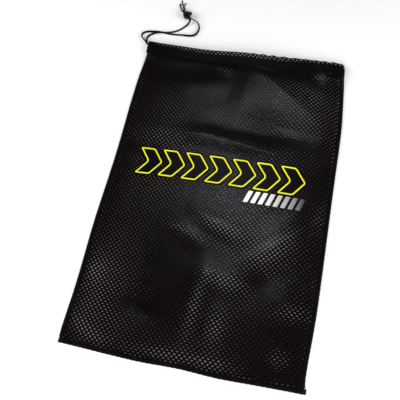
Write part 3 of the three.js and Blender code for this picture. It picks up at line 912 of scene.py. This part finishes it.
@dataclass
class Walls:
    """The two net walls of the bag.

    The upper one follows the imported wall, with finer folds that fade out towards its edges. The
    lower one lies flat and slips a few millimetres in its own plane, as loose cloth does, so that
    for a viewer at the foot end its holes meet those of the upper one in some patches alone. It
    is held where it is sewn, at the rim and at the hem.
    """

    form: BagForm
    net: KnittedNet
    camera: Vector
    width: float = 494 * MM
    length: float = 710.01 * MM
    back_height: float = 0.6 * MM
    edge_height: float = 1.5 * MM
    edge_roll: float = 6 * MM
    fold_edge: float = 0.05
    closed_shift: float = 2.3 * MM
    most_closed: float = -0.7
    drift: float = 0.5
    held_at_rim: float = 0.018
    held_at_hem: float = 0.012
    rounds: int = 3

    def plan(self, x: np.ndarray, y: np.ndarray) -> tuple[np.ndarray, np.ndarray]:
        """Ground plan of flat places.

        Args:
            x: flat places across.
            y: flat places along.

        Returns:
            Places across and along on the ground plan.
        """
        u, v = x / self.width, y / self.length
        across = (u - 0.5) * self.width
        along = (v - 0.5) * self.length
        for _ in range(self.rounds):
            low = self.form.at(Line.FOOT, across)
            high = self.form.at(Line.HEM, across)
            along = low + (high - low) * v
            left = self.form.at(Line.LEFT, along)
            right = self.form.at(Line.RIGHT, along)
            across = left + (right - left) * u
        return across, along

    def upper(self, x: np.ndarray, y: np.ndarray) -> np.ndarray:
        """Middle surface of the upper wall for flat places."""
        return self.on_upper(*self.plan(x, y))

    def on_upper(self, px: np.ndarray, py: np.ndarray) -> np.ndarray:
        """Middle surface of the upper wall.

        Args:
            px: places across, on the ground plan.
            py: places along.

        Returns:
            Points of the surface above them.
        """
        rim = smooth(self.form.from_edge(px, py) / self.edge_roll)
        inner = smooth(self.form.from_edge(px, py) / self.fold_edge)
        folds = sum(f.height(px, py, self.width) for f in FINE_FOLDS)
        z = self.form.height(px, py) + folds * inner
        z = self.edge_height + (z - self.edge_height) * rim
        return np.column_stack((px, py, z))

    def lower(self, x: np.ndarray, y: np.ndarray) -> np.ndarray:
        """Middle surface of the lower wall.

        Args:
            x: flat places across.
            y: flat places along.

        Returns:
            Points of the surface.
        """
        top = self.upper(x, y)
        drop = (top[:, 2] - self.back_height) / (self.camera.z - top[:, 2])
        seen = top[:, :2] + (top[:, :2] - np.array(self.camera[:2])) * drop[:, None]
        u, v = top[:, 0] / self.width + 0.5, top[:, 1] / BAG_LENGTH + 0.5
        aspect = BAG_LENGTH / self.width
        open_share = sum(p.share(u, v, aspect) for p in NET_PATCHES)
        open_share += self.drift * np.sin(9 * u + 4 * v) * np.sin(7 * v - 3 * u + 1)
        seen[:, 1] += self.closed_shift * (1 - np.clip(open_share, self.most_closed, 1))
        below_hem = self.form.at(Line.HEM, top[:, 0]) - top[:, 1]
        free = smooth(self.form.from_edge(top[:, 0], top[:, 1]) / self.held_at_rim)
        free *= smooth(below_hem / self.held_at_hem)
        plan = top[:, :2] + (seen - top[:, :2]) * free[:, None]
        return np.column_stack((plan, np.full(len(plan), self.back_height)))

    def build(self) -> list[Object]:
        """Knits and lays both walls.

        Returns:
            The lower and the upper wall.
        """
        flat = self.net.flat(self.width, self.length, "upper_net")
        below = flat.copy()
        below.name = "lower_net"
        self.net.drape(flat, self.upper)
        self.net.drape(below, self.lower)
        lower = new_piece("lower_net", below)
        upper = new_piece("upper_net", flat)
        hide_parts("back_panel")
        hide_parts("front_panel")
        for piece in (lower, upper):
            piece.data.materials.append(PolyesterKnit().material())
        return [lower, upper]


@dataclass
class HemBelt:
    """Hem tunnel: a folded strip of net that runs along the upper mouth edge, turns at the right
    corner and comes back along the lower one. Its right half is slightly ruffled."""

    form: BagForm
    net: KnittedNet
    walls: Walls
    height: float = 35 * MM
    depth: float = 4.6 * MM
    skin: float = 0.5 * MM
    turn_radius: float = 5.3 * MM
    ruffle: float = 1.1 * MM
    ruffle_length: float = 23 * MM
    ruffle_start_x: float = -0.02
    ruffle_growth: float = 0.08
    turn_held: float = 0.03
    turn_settle: float = 0.012
    middle_y: float = 0.355
    rounds: int = 3

    @property
    def fold_radius(self) -> float:
        """Radius of the fold at the mouth edge."""
        return self.depth / 2 - self.skin

    @property
    def run(self) -> float:
        """Flat length of one half of the belt, from the left end to the turn."""
        return self.walls.width * (1 - self.turn_radius / self.walls.width)

    @property
    def flat_size(self) -> tuple[float, float]:
        """Flat length round the mouth, and flat width across the folded strip."""
        around = 2 * self.run + math.pi * self.turn_radius
        return around, 2 * self.height - 2 * self.fold_radius + math.pi * self.fold_radius

    def place(self, q: np.ndarray, w: np.ndarray) -> np.ndarray:
        """Middle surface of the folded strip.

        Args:
            q: flat places along the belt, from its upper left end.
            w: flat places across it, from the outer hem line over the mouth edge and back.

        Returns:
            Points of the surface.
        """
        leg = self.height - self.fold_radius
        arc = math.pi * self.fold_radius
        a = np.clip((w - leg) / self.fold_radius, 0, math.pi)
        back = np.clip(w - leg - arc, 0, None)
        up = np.minimum(w, leg) - back + self.fold_radius * np.sin(a)
        depth = self.skin + self.fold_radius * (1 - np.cos(a))
        return self.spot(q, up / self.height, depth)

    def spot(self, q: np.ndarray, share: np.ndarray, depth: np.ndarray) -> np.ndarray:
        """Finds a point of the belt.

        Args:
            q: flat places along the belt.
            share: share of its height, from the hem line.
            depth: depth below its outer face.

        Returns:
            The points.
        """
        turned = np.clip((q - self.run) / self.turn_radius, 0, math.pi)
        below = np.clip(q - self.run - math.pi * self.turn_radius, 0, None)
        along = np.minimum(q, self.run) - below
        y = np.full_like(q, self.middle_y)
        for _ in range(self.rounds):
            left, right = self.form.at(Line.LEFT, y), self.form.at(Line.RIGHT, y)
            x = left + (right - left) * along / self.walls.width
            x = x + (self.turn_radius - depth) * np.sin(turned)
            hem, mouth = self.form.at(Line.HEM, x), self.form.at(Line.MOUTH, x)
            y = hem + (mouth - hem) * share
        upper = q < self.run
        top = np.interp(x, *self.form.belt_tops)
        settle = smooth((self.run - q) / self.turn_settle)
        mouth_end = 2 * self.turn_radius
        z_upper = mouth_end + (top - mouth_end) * settle - depth
        z_turn = self.turn_radius + (self.turn_radius - depth) * np.cos(turned)
        z = np.where(upper, z_upper, z_turn)
        loose = smooth((x - self.ruffle_start_x) / self.ruffle_growth) * share
        loose *= smooth((self.run - np.minimum(q, self.run)) / self.turn_held)
        wave = np.sin(2 * np.pi * x / self.ruffle_length + 1.3 * np.sin(31 * x))
        y = y + self.ruffle * loose * wave * np.where(below > 0, -0.5, 1)
        z = z + 0.6 * self.ruffle * loose * np.cos(2 * np.pi * x / self.ruffle_length) * upper
        return np.column_stack((x, y, z))

    def build(self) -> list[Object]:
        """Knits the strip and folds it round the mouth.

        Returns:
            The hem.
        """
        around, across = self.flat_size
        mesh = self.net.flat(around, across, "hem_net")
        self.net.drape(mesh, self.place)
        hem = new_piece("hem_net", mesh)
        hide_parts("hem_casing")
        hem.data.materials.append(PolyesterKnit(name="polyester_knit_hem").material())
        return [hem]


@dataclass
class Print:
    """Generic printed motif: a row of outlined chevrons over a black band, and fading bars."""

    form: BagForm
    walls: Walls
    left: float = -186 * MM
    span: float = 372 * MM
    low: float = 12 * MM
    height: float = 64 * MM
    count: int = 7
    arm: float = 34 * MM
    point: float = 24 * MM
    stroke: float = 3.0 * MM
    margin: float = 3.5 * MM
    lift: float = 0.75 * MM
    film: float = 0.12 * MM
    grid: float = 6 * MM
    bars_left: float = 62 * MM
    bars_low: float = -20 * MM
    bars_height: float = 27 * MM
    bar_width: float = 9.5 * MM
    bar_step: float = 15.6 * MM
    bar_count: int = 8
    bar_slant: float = 9 * MM
    bar_rounding: float = 1.5 * MM
    rounding: float = 4.5 * MM
    line_lift: float = 0.2 * MM
    fade_across: tuple[float, float] = (0.095, 0.19)

    @staticmethod
    def outline_face(bm: BMesh, corners: Sequence[tuple[float, float]], rounding: float) -> None:
        """Makes one flat face with rounded corners.

        Args:
            bm: the bmesh.
            corners: its corners on the ground plan.
            rounding: how much each corner is rounded.
        """
        verts = [bm.verts.new((x, y, 0)) for x, y in corners]
        bm.faces.new(verts)
        bmesh.ops.bevel(bm, geom=verts, offset=rounding, offset_type="OFFSET", segments=4,
                        profile=0.5, affect="VERTICES", material=-1)

    def chevrons(self) -> list[list[tuple[float, float]]]:
        """Works out the corners of each chevron.

        Returns:
            Six corners a chevron.
        """
        step = (self.span - self.arm - self.point) / (self.count - 1)
        top, middle = self.low + self.height, self.low + self.height / 2
        shapes = []
        for k in range(self.count):
            x = self.left + k * step
            shapes.append([(x, self.low), (x + self.arm, self.low),
                           (x + self.arm + self.point, middle), (x + self.arm, top), (x, top),
                           (x + self.point, middle)])
        return shapes

    def drape_film(self, bm: BMesh, name: str, lift: float,
                   finish: ScreenPrint) -> Object:
        """Cuts a film on a grid, lays it on the upper wall and gives it its thickness.

        Args:
            bm: flat faces on the ground plan.
            name: name of the piece.
            lift: height of the film above the wall's middle surface.
            finish: its ink.

        Returns:
            The piece.
        """
        for axis, way in enumerate((Vector((1, 0, 0)), Vector((0, 1, 0)))):
            places = [v.co[axis] for v in bm.verts]
            for cut in np.arange(min(places) + self.grid, max(places), self.grid):
                bmesh.ops.bisect_plane(bm, geom=all_of(bm), dist=ON_PLANE,
                                       plane_co=way * float(cut), plane_no=way)
        bmesh.ops.triangulate(bm, faces=bm.faces[:])
        for face in bm.faces:
            if face.normal.z < 0:
                face.normal_flip()
        bmesh.ops.solidify(bm, geom=bm.faces[:], thickness=-self.film)
        mesh = mesh_from(bm, name, False)
        flat = points_of(mesh)
        KnittedNet.lay_uv(mesh)
        placed = self.walls.on_upper(flat[:, 0], flat[:, 1])
        placed[:, 2] += lift + flat[:, 2]
        set_points(mesh, placed)
        piece = new_piece(name, mesh)
        piece.data.materials.append(finish.material())
        return piece

    def build(self) -> list[Object]:
        """Prints the band, the outlines and the bars.

        Returns:
            The printed pieces.
        """
        band = bmesh.new()
        lines = bmesh.new()
        for corners in self.chevrons():
            self.outline_face(band, corners, self.rounding)
            self.outline_face(lines, corners, self.rounding)
        bmesh.ops.inset_individual(band, faces=band.faces[:], thickness=-self.margin)
        inside = bmesh.ops.inset_individual(lines, faces=lines.faces[:], thickness=self.stroke)
        bmesh.ops.delete(lines, geom=[f for f in lines.faces if f not in inside["faces"]],
                         context="FACES_ONLY")
        bars = bmesh.new()
        top = self.bars_low + self.bars_height
        for k in range(self.bar_count):
            x = self.bars_left + k * self.bar_step
            self.outline_face(bars, [(x, self.bars_low), (x + self.bar_width, self.bars_low),
                                     (x + self.bar_width + self.bar_slant, top),
                                     (x + self.bar_slant, top)], self.bar_rounding)
        black = ScreenPrint("screen_print_black", "030304", "040405")
        yellow = ScreenPrint("screen_print_yellow")
        fading = ScreenPrint("screen_print_fading", "F2F2F0", "2A2A2C", stops=(0.0, 1.0),
                             fade_across=self.fade_across)
        pieces = [self.drape_film(band, "print_band", self.lift, black),
                  self.drape_film(lines, "print_outlines", self.lift + self.line_lift, yellow),
                  self.drape_film(bars, "print_bars", self.lift, fading)]
        return pieces


@dataclass(frozen=True)
class Tube:
    """Sweeps a flat cord section along a smooth curve, with a turn about its own line."""

    points: tuple[Point, ...]
    width: float = 5 * MM
    thickness: float = 2 * MM
    turns: tuple[tuple[float, float], ...] = ((0.0, 0.0), (1.0, 0.0))
    spacing: float = 1.5 * MM
    closed: bool = False
    sides: int = 12
    curve_steps: int = 12

    def path(self) -> np.ndarray:
        """Even points of the centripetal curve through the route.

        Returns:
            An array of three columns.
        """
        route = [Vector(p) for p in self.points]
        ends = ([route[-1]] + route + route[:2]) if self.closed else (
            [2 * route[0] - route[1]] + route + [2 * route[-1] - route[-2]])
        dense = []
        for p0, p1, p2, p3 in zip(ends, ends[1:], ends[2:], ends[3:]):
            k = [0.0]
            for a, b in ((p0, p1), (p1, p2), (p2, p3)):
                k.append(k[-1] + max((b - a).length, 1e-9) ** 0.5)
            for t in np.linspace(k[1], k[2], self.curve_steps, endpoint=False):
                a1 = p0.lerp(p1, (t - k[0]) / (k[1] - k[0]))
                a2 = p1.lerp(p2, (t - k[1]) / (k[2] - k[1]))
                a3 = p2.lerp(p3, (t - k[2]) / (k[3] - k[2]))
                b1 = a1.lerp(a2, (t - k[0]) / (k[2] - k[0]))
                b2 = a2.lerp(a3, (t - k[1]) / (k[3] - k[1]))
                dense.append(b1.lerp(b2, (t - k[1]) / (k[2] - k[1])))
        if not self.closed:
            dense.append(route[-1])
        line = np.array([tuple(p) for p in dense])
        steps = np.r_[0, np.cumsum(np.linalg.norm(np.diff(line, axis=0), axis=1))]
        even = np.linspace(0, steps[-1], max(int(steps[-1] / self.spacing), 3))
        return np.column_stack([np.interp(even, steps, line[:, k]) for k in range(3)])

    def length(self) -> float:
        """Length of the curve."""
        return float(np.linalg.norm(np.diff(self.path(), axis=0), axis=1).sum())

    def mesh(self, name: str) -> Mesh:
        """Sweeps the section.

        Args:
            name: name of the mesh.

        Returns:
            A closed tube.
        """
        line = [Vector(p) for p in self.path()]
        bm = bmesh.new()
        ring = bmesh.ops.create_circle(bm, cap_ends=True, segments=self.sides, radius=0.5)["verts"]
        bmesh.ops.scale(bm, verts=ring, vec=(self.width, self.thickness, 1))
        edges = bm.edges[:]
        first = Matrix.Identity(4)
        shares = np.linspace(0, 1, len(line))
        places, turns = zip(*self.turns)
        angles = np.radians(np.interp(shares, places, turns))
        for i, point in enumerate(line):
            ahead = (line[min(i + 1, len(line) - 1)] - line[max(i - 1, 0)]).normalized()
            side = Vector((-ahead.y, ahead.x, 0))
            side = side.normalized() if side.length > 1e-6 else Vector((1, 0, 0))
            up = ahead.cross(side)
            turned = Matrix.Rotation(float(angles[i]), 3, ahead)
            axes = Matrix((turned @ side, turned @ up, ahead)).transposed().to_4x4()
            now = Matrix.Translation(point) @ axes
            if i:
                grown = bmesh.ops.extrude_edge_only(bm, edges=edges)["geom"]
                ring = [v for v in grown if isinstance(v, BMVert)]
                edges = [e for e in grown if isinstance(e, BMEdge)]
            bmesh.ops.transform(bm, matrix=now @ first.inverted(), verts=ring)
            first = now
        bmesh.ops.edgeloop_fill(bm, edges=edges)
        bmesh.ops.recalc_face_normals(bm, faces=bm.faces[:])
        return mesh_from(bm, name)


def from_exit(steps: Sequence[Point]) -> tuple[Point, ...]:
    """Turns steps from the hem exit, in millimetres, to points in metres."""
    return tuple(((HEM_EXIT[0] + x) * MM, (HEM_EXIT[1] + y) * MM, z * MM) for x, y, z in steps)


def through_lock(lift: float) -> tuple[Point, ...]:
    """Straight run through the lock's bore, a little above or below its middle."""
    way = Vector((-math.sin(LOCK_TURN), math.cos(LOCK_TURN), 0))
    runs = (-10, -5, 0, 5, 10.7)
    return tuple(tuple(LOCK_CENTRE + way * run * MM + Vector((0, 0, lift))) for run in runs)


STRAND_A = from_exit((
    (-1, 0, 2.3), (-3, 0.2, 2.4), (-6.4, 3.6, 2.7), (-9.5, 7.5, 3.1), (-16, 13.2, 3.4),
    (-22.7, 21.6, 3.5), (-23.2, 28.5, 3.5), (-18.4, 34.3, 3.2), (-10, 38.3, 2.7),
    (2.5, 40.6, 1.8), (17, 42.4, 1.15), (32, 40.6, 1.05), (46, 38.2, 1.2), (60, 36.9, 2.5),
    (77, 37.3, 3.2), (94, 36.8, 3.5), (104, 38, 3.5), (111.5, 42.4, 3.5), (116.8, 53.9, 3.5),
    (116.9, 65, 3.5), (113.2, 75.6, 3.9), (106, 82.6, 5.0), (98.4, 84.6, 7.6), (91.6, 84.2, 10.5),
)) + through_lock(1.15 * MM)
STRAND_B = from_exit((
    (-1, 0, 8.3), (-2.8, 0.2, 8.3), (-4.6, 3.8, 7.9), (-6, 8.5, 6.6), (-7.6, 15, 4.2),
    (-6.8, 22, 2.8), (-2.6, 28.6, 2.4), (4, 33, 2.9), (11.5, 36.2, 3.7), (18, 38, 3.8),
    (31, 39.2, 3.8), (42.4, 40.2, 3.7), (48.6, 42.8, 3.2), (53.4, 45.2, 2.2), (59, 48.2, 1.5),
    (64.7, 51.6, 1.3), (75.6, 61, 1.3), (81.6, 67.4, 2.0), (86.6, 73.4, 3.9), (89.4, 79, 6.3),
    (88.9, 84.4, 8.0),
)) + through_lock(-1.15 * MM)
LEFT_TAIL = from_exit((
    (63.5, 110.6, 6.6), (60.6, 114.6, 5), (58.4, 118.8, 3), (56, 123.8, 2.2), (54.2, 128, 1.8),
    (52.9, 131.8, 1.8), (52.3, 135.4, 1.9),
))
RIGHT_TAIL = from_exit((
    (67.0, 114.2, 6.6), (65.8, 118.2, 4.8), (64.7, 122, 2.8), (63.4, 126, 1.5),
    (62.4, 129.3, 1.3),
))
PRONGS = (
    from_exit(((62.9, 127.8, 1.3), (58.6, 135, 1.3), (56.2, 141, 1.3), (54.5, 146.7, 1.4))),
    from_exit(((62.4, 127.8, 1.4), (63.4, 133.8, 1.4), (64.8, 139.3, 1.5))),
)
A_TURNS = ((0, 0), (0.05, 25), (0.1, 50), (0.24, 45), (0.32, 0), (0.52, 0), (0.62, 25),
           (0.7, 42), (0.84, 42), (0.9, 10), (1, 0))
B_TURNS = ((0, 0), (0.06, 20), (0.16, 35), (0.28, 10), (0.6, 0), (0.75, 0), (1, 0))


@dataclass
class Drawcord:
    """The drawcord: its run in the hem, both free strands, the knot and the frayed tails."""

    belt: HemBelt
    lock: list[Object]
    exit_a: Point = (-0.24495, 0.368, 0.0023)
    exit_b: Point = (-0.24495, 0.368, 0.0083)
    fibre: float = 0.7 * MM
    diameter: float = 0.005
    hem_share_at_exit: float = 0.86
    hem_share_inside: float = 0.55
    hem_entry: float = 0.1
    hem_points: int = 90
    hem_end_gap: float = 0.5 * MM
    hem_spacing: float = 3 * MM
    knot_size: Point = (1.35 * MM, 1.45 * MM, 3.0 * MM)
    knot_points: int = 36
    knot_middle: Vector = field(default_factory=lambda: Vector((-175.45, 476.75, 7.15)) * MM)

    def hem_run(self) -> Tube:
        """Lays the part of the cord that lies in the hem tunnel.

        Returns:
            Its tube.
        """
        around = self.belt.flat_size[0]
        q = np.linspace(self.hem_end_gap, around - self.hem_end_gap, self.hem_points)
        entry = smooth(np.minimum(q, around - q) / self.hem_entry)
        share = self.hem_share_at_exit + (self.hem_share_inside - self.hem_share_at_exit) * entry
        points = self.belt.spot(q, share, np.full_like(q, self.belt.depth / 2))
        return Tube(tuple(map(tuple, points)), spacing=self.hem_spacing)

    def knot(self) -> Mesh:
        """Ties the overhand knot of the doubled cord, pulled tight.

        Returns:
            A closed loop in the shape of a trefoil.
        """
        turn = Matrix.Rotation(LOCK_TURN, 3, "Z")
        a, b, c = self.knot_size
        points = []
        for t in np.linspace(0, 2 * math.pi, self.knot_points, endpoint=False):
            loop = Vector((a * (math.sin(t) + 2 * math.sin(2 * t)),
                           b * (math.cos(t) - 2 * math.cos(2 * t)), -c * math.sin(3 * t)))
            points.append(tuple(self.knot_middle + turn @ loop))
        return Tube(tuple(points), width=3.4 * MM, thickness=2.5 * MM, spacing=0.8 * MM,
                    closed=True).mesh("cord_knot_tied")

    def frayed(self, trunk: Sequence[Tube], name: str, ends: Sequence[int]) -> Mesh:
        """Joins tail tubes and gives chosen ones a splayed end of fibres.

        Args:
            trunk: the tubes of the tail.
            name: name of the mesh.
            ends: numbers of the tubes that fray.

        Returns:
            One mesh of closed tubes.
        """
        bm = bmesh.new()
        tubes = list(trunk)
        for k in ends:
            line = trunk[k].path()
            tip, way = Vector(line[-1]), (Vector(line[-1]) - Vector(line[-4])).normalized()
            side = Vector((-way.y, way.x, 0)).normalized()
            for spread, reach in ((-0.9, 3.2), (-0.4, 4.4), (0.1, 5.2), (0.5, 4.0), (1.0, 2.9)):
                start = tip - way * 1.2 * MM + side * spread * 0.9 * MM
                middle = start + way * reach * 0.6 * MM + side * spread * 0.5 * MM
                end = start + way * reach * MM + side * spread * 1.6 * MM
                end.z = middle.z = max(start.z - 0.3 * MM, 0.5 * MM)
                tubes.append(Tube((tuple(start), tuple(middle), tuple(end)), self.fibre,
                                  self.fibre, spacing=1.2 * MM))
        for tube in tubes:
            mesh = tube.mesh("part")
            bm.from_mesh(mesh)
            bpy.data.meshes.remove(mesh)
        return mesh_from(bm, name)

    def build(self) -> list[Object]:
        """Makes every cord piece.

        Returns:
            The pieces.
        """
        cord = BraidedCord().material()
        strand_a, strand_b = Tube(STRAND_A, turns=A_TURNS), Tube(STRAND_B, turns=B_TURNS)
        left = Tube(LEFT_TAIL, width=4.4 * MM, turns=((0, 20), (0.5, 60), (1, 30)))
        right = [Tube(RIGHT_TAIL, width=4.8 * MM, turns=((0, 0), (1, 10)))]
        right += [Tube(p, width=2.6 * MM, thickness=1.8 * MM) for p in PRONGS]
        meshes = {
            "cord_in_hem": (self.hem_run().mesh("cord_in_hem"), "drawcord_loop"),
            "cord_strand_a": (strand_a.mesh("cord_strand_a"), "drawcord_strand_a"),
            "cord_strand_b": (strand_b.mesh("cord_strand_b"), "drawcord_strand_b"),
            "cord_knot_tied": (self.knot(), "cord_knot"),
            "cord_tail_left": (self.frayed([left], "cord_tail_left", [0]), "tail_left"),
            "cord_tail_right": (self.frayed(right, "cord_tail_right", [1, 2]), "tail_right"),
        }
        pieces = {}
        for name, (mesh, node) in meshes.items():
            pieces[name] = new_piece(name, mesh)
            pieces[name].data.materials.append(cord)
            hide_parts(node)
        strand_a.length()
        [tuple(p) for p in strand_a.path()[::4]]
        strand_b.length()
        [tuple(p) for p in strand_b.path()[::4]]
        log.info("strand lengths %.4f and %.4f m", strand_a.length(), strand_b.length())
        return list(pieces.values())


@dataclass
class Seams:
    """Seam allowances turned to the inside, with their overlocked edge, and the stitch rows."""

    form: BagForm
    inset: float = 0.4 * MM
    width: float = 9.5 * MM
    low: float = 1.55 * MM
    thickness: float = 1.1 * MM
    wander: float = 0.8 * MM
    side_span: tuple[float, float] = (-0.3575, 0.336)
    foot_span: tuple[float, float] = (-0.2415, 0.2375)
    overlocked_side: tuple[float, float] = (-0.352, 0.33)
    overlocked_foot: tuple[float, float] = (-0.236, 0.232)
    overlock_step: float = 3.2 * MM
    overlock_inset: float = 2.2 * MM
    overlock_slant: float = 0.45
    stitch_step: float = 3.4 * MM
    stitch_rows: tuple[float, float] = (1.6 * MM, 4.4 * MM)
    hem_y: float = 0.35
    hem_inset: float = 3 * MM
    rim_angle: float = 1.2

    def beside(self, line: Line, station: np.ndarray, inwards: np.ndarray, z: np.ndarray
               ) -> np.ndarray:
        """Finds points at a distance inwards from an outline line.

        Args:
            line: the line.
            station: places along it.
            inwards: distance of each point from it.
            z: height of each point.

        Returns:
            The points.
        """
        edge = self.form.at(line, station)
        if line is Line.FOOT:
            return np.column_stack((station, edge + inwards, z))
        side = 1 if line is Line.LEFT else -1
        return np.column_stack((edge + side * inwards, station, z))

    def strip(self, line: Line, name: str) -> Mesh:
        """Makes one seam allowance along an outline line.

        Args:
            line: the line it follows.
            name: name of the mesh.

        Returns:
            A closed strip.
        """
        start, end = self.foot_span if line is Line.FOOT else self.side_span
        bm = bmesh.new()
        bmesh.ops.create_grid(bm, x_segments=4, y_segments=160, size=0.5)
        bmesh.ops.translate(bm, verts=bm.verts, vec=(0.5, 0.5, 0))
        bmesh.ops.scale(bm, verts=bm.verts, vec=(self.width, end - start, 1))
        bmesh.ops.solidify(bm, geom=bm.faces[:], thickness=self.thickness)
        rim = [e for e in bm.edges if e.calc_face_angle(0) > self.rim_angle]
        bmesh.ops.bevel(bm, geom=rim, offset=0.3 * MM, segments=2, profile=0.5,
                        affect="EDGES", material=-1)
        bmesh.ops.recalc_face_normals(bm, faces=bm.faces[:])
        mesh = mesh_from(bm, name)
        flat = points_of(mesh)
        inwards, station, z = flat.T
        station = station + start
        z = z - z.min() + self.low
        reach = self.inset + inwards * (1 + self.wander / self.width * np.sin(90 * station))
        set_points(mesh, self.beside(line, station, reach, z))
        if line is not Line.LEFT:
            mesh.flip_normals()
        return mesh

    @staticmethod
    def stitches(name: str, spots: np.ndarray, ways: np.ndarray, length: float, radius: float
                 ) -> Object:
        """Makes rows of thread stitches.

        Args:
            name: name of the piece.
            spots: middle of each stitch.
            ways: direction of each stitch.
            length: length of one stitch.
            radius: radius of the thread.

        Returns:
            One piece of closed stitches.
        """
        bm = bmesh.new()
        for spot, way in zip(spots, ways):
            made = bmesh.ops.create_icosphere(bm, subdivisions=1, radius=1)["verts"]
            bmesh.ops.scale(bm, verts=made, vec=(radius, radius, length / 2))
            turn = Vector(way).to_track_quat("Z", "Y").to_matrix()
            bmesh.ops.rotate(bm, verts=made, cent=(0, 0, 0), matrix=turn)
            bmesh.ops.translate(bm, verts=made, vec=Vector(spot))
        return new_piece(name, mesh_from(bm, name))

    def hem_rows(self) -> Object:
        """Sews two rows of lockstitch along the upper hem line.

        Returns:
            The stitches.
        """
        start = self.form.at(Line.LEFT, self.hem_y) + self.hem_inset
        x = np.arange(start, self.overlocked_foot[1], self.stitch_step)
        y = self.form.at(Line.HEM, x)
        top = np.interp(x, *self.form.belt_tops)
        spots = [np.column_stack((x, y + row, top + 0.15 * MM)) for row in self.stitch_rows]
        way = np.column_stack((np.ones_like(x), np.gradient(y, x), np.gradient(top, x)))
        ways = np.tile(way, (len(self.stitch_rows), 1))
        return self.stitches("hem_stitches", np.vstack(spots), ways, 2.9 * MM, 0.42 * MM)

    def overlock(self) -> Object:
        """Lays thread loops over the raw inner edge of each seam allowance.

        Returns:
            The loops.
        """
        spots, ways = [], []
        slant = self.overlock_slant
        for line, way in ((Line.LEFT, (1, slant, 0)), (Line.RIGHT, (-1, slant, 0)),
                          (Line.FOOT, (slant, 1, 0))):
            span = self.overlocked_foot if line is Line.FOOT else self.overlocked_side
            station = np.arange(*span, self.overlock_step)
            reach = np.full_like(station, self.inset + self.width - self.overlock_inset)
            height = np.full_like(station, self.low + self.thickness + 0.05 * MM)
            spots.append(self.beside(line, station, reach, height))
            ways.append(np.tile(way, (len(station), 1)))
        return self.stitches("overlock_loops", np.vstack(spots), np.vstack(ways), 4.6 * MM,
                             0.38 * MM)

    def build(self) -> list[Object]:
        """Makes the seams and their stitches.

        Returns:
            The pieces.
        """
        thread = OverlockThread().material()
        pieces = []
        for line, node in ((Line.LEFT, "side_seam_left"), (Line.RIGHT, "side_seam_right"),
                           (Line.FOOT, "bottom_seam")):
            piece = new_piece(f"{node}_allowance", self.strip(line, f"{node}_allowance"))
            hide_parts(node)
            pieces.append(piece)
        pieces += [self.hem_rows(), self.overlock()]
        for piece in pieces:
            piece.data.materials.append(thread)
        return pieces


@dataclass
class CordLock:
    """The ball lock and its button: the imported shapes, shaded round between their sharp rims."""

    crease: float = math.radians(32)

    def moulded(self, node: str, name: str, body: str) -> Object:
        """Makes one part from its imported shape.

        Args:
            node: the CAD node it stands for.
            name: name of the piece.
            body: the CAD body it rides on.

        Returns:
            The part.
        """
        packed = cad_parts[node]
        bm = bmesh.new()
        bm.from_mesh(packed.data)
        bmesh.ops.transform(bm, matrix=packed.matrix_world, verts=bm.verts)
        bmesh.ops.remove_doubles(bm, verts=bm.verts, dist=MERGE)
        bmesh.ops.recalc_face_normals(bm, faces=bm.faces)
        for edge in bm.edges:
            edge.smooth = edge.calc_face_angle(0) < self.crease
        piece = new_piece(name, mesh_from(bm, name), body)
        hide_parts(node)
        return piece

    def build(self) -> list[Object]:
        """Makes the ball and its button.

        Returns:
            The parts.
        """
        parts = [self.moulded("lock_body", "lock_ball", BAG),
                 self.moulded("lock_plunger", "lock_push_button", "lock_button")]
        plastic = MouldedPolypropylene().material()
        for part in parts:
            part.data.materials.append(plastic)
        return parts


def main() -> None:
    """Builds the bag piece by piece and reports each one."""
    logging.basicConfig(level=logging.INFO, format="%(name)s: %(message)s")
    studio = Studio()
    studio.build()
    form = BagForm().read()
    net = KnittedNet()
    walls = Walls(form, net, Vector(studio.place))
    belt = HemBelt(form, net, walls)
    pieces = CordLock().build()
    pieces += Drawcord(belt, pieces[:]).build()
    pieces += walls.build()
    pieces += belt.build()
    pieces += Seams(form).build()
    pieces += Print(form, walls).build()
    for piece in pieces:
        log.info("%s: %d faces", piece.name, len(piece.data.polygons))
    bpy.context.view_layer.update()


if __name__ == "__main__":
    main()
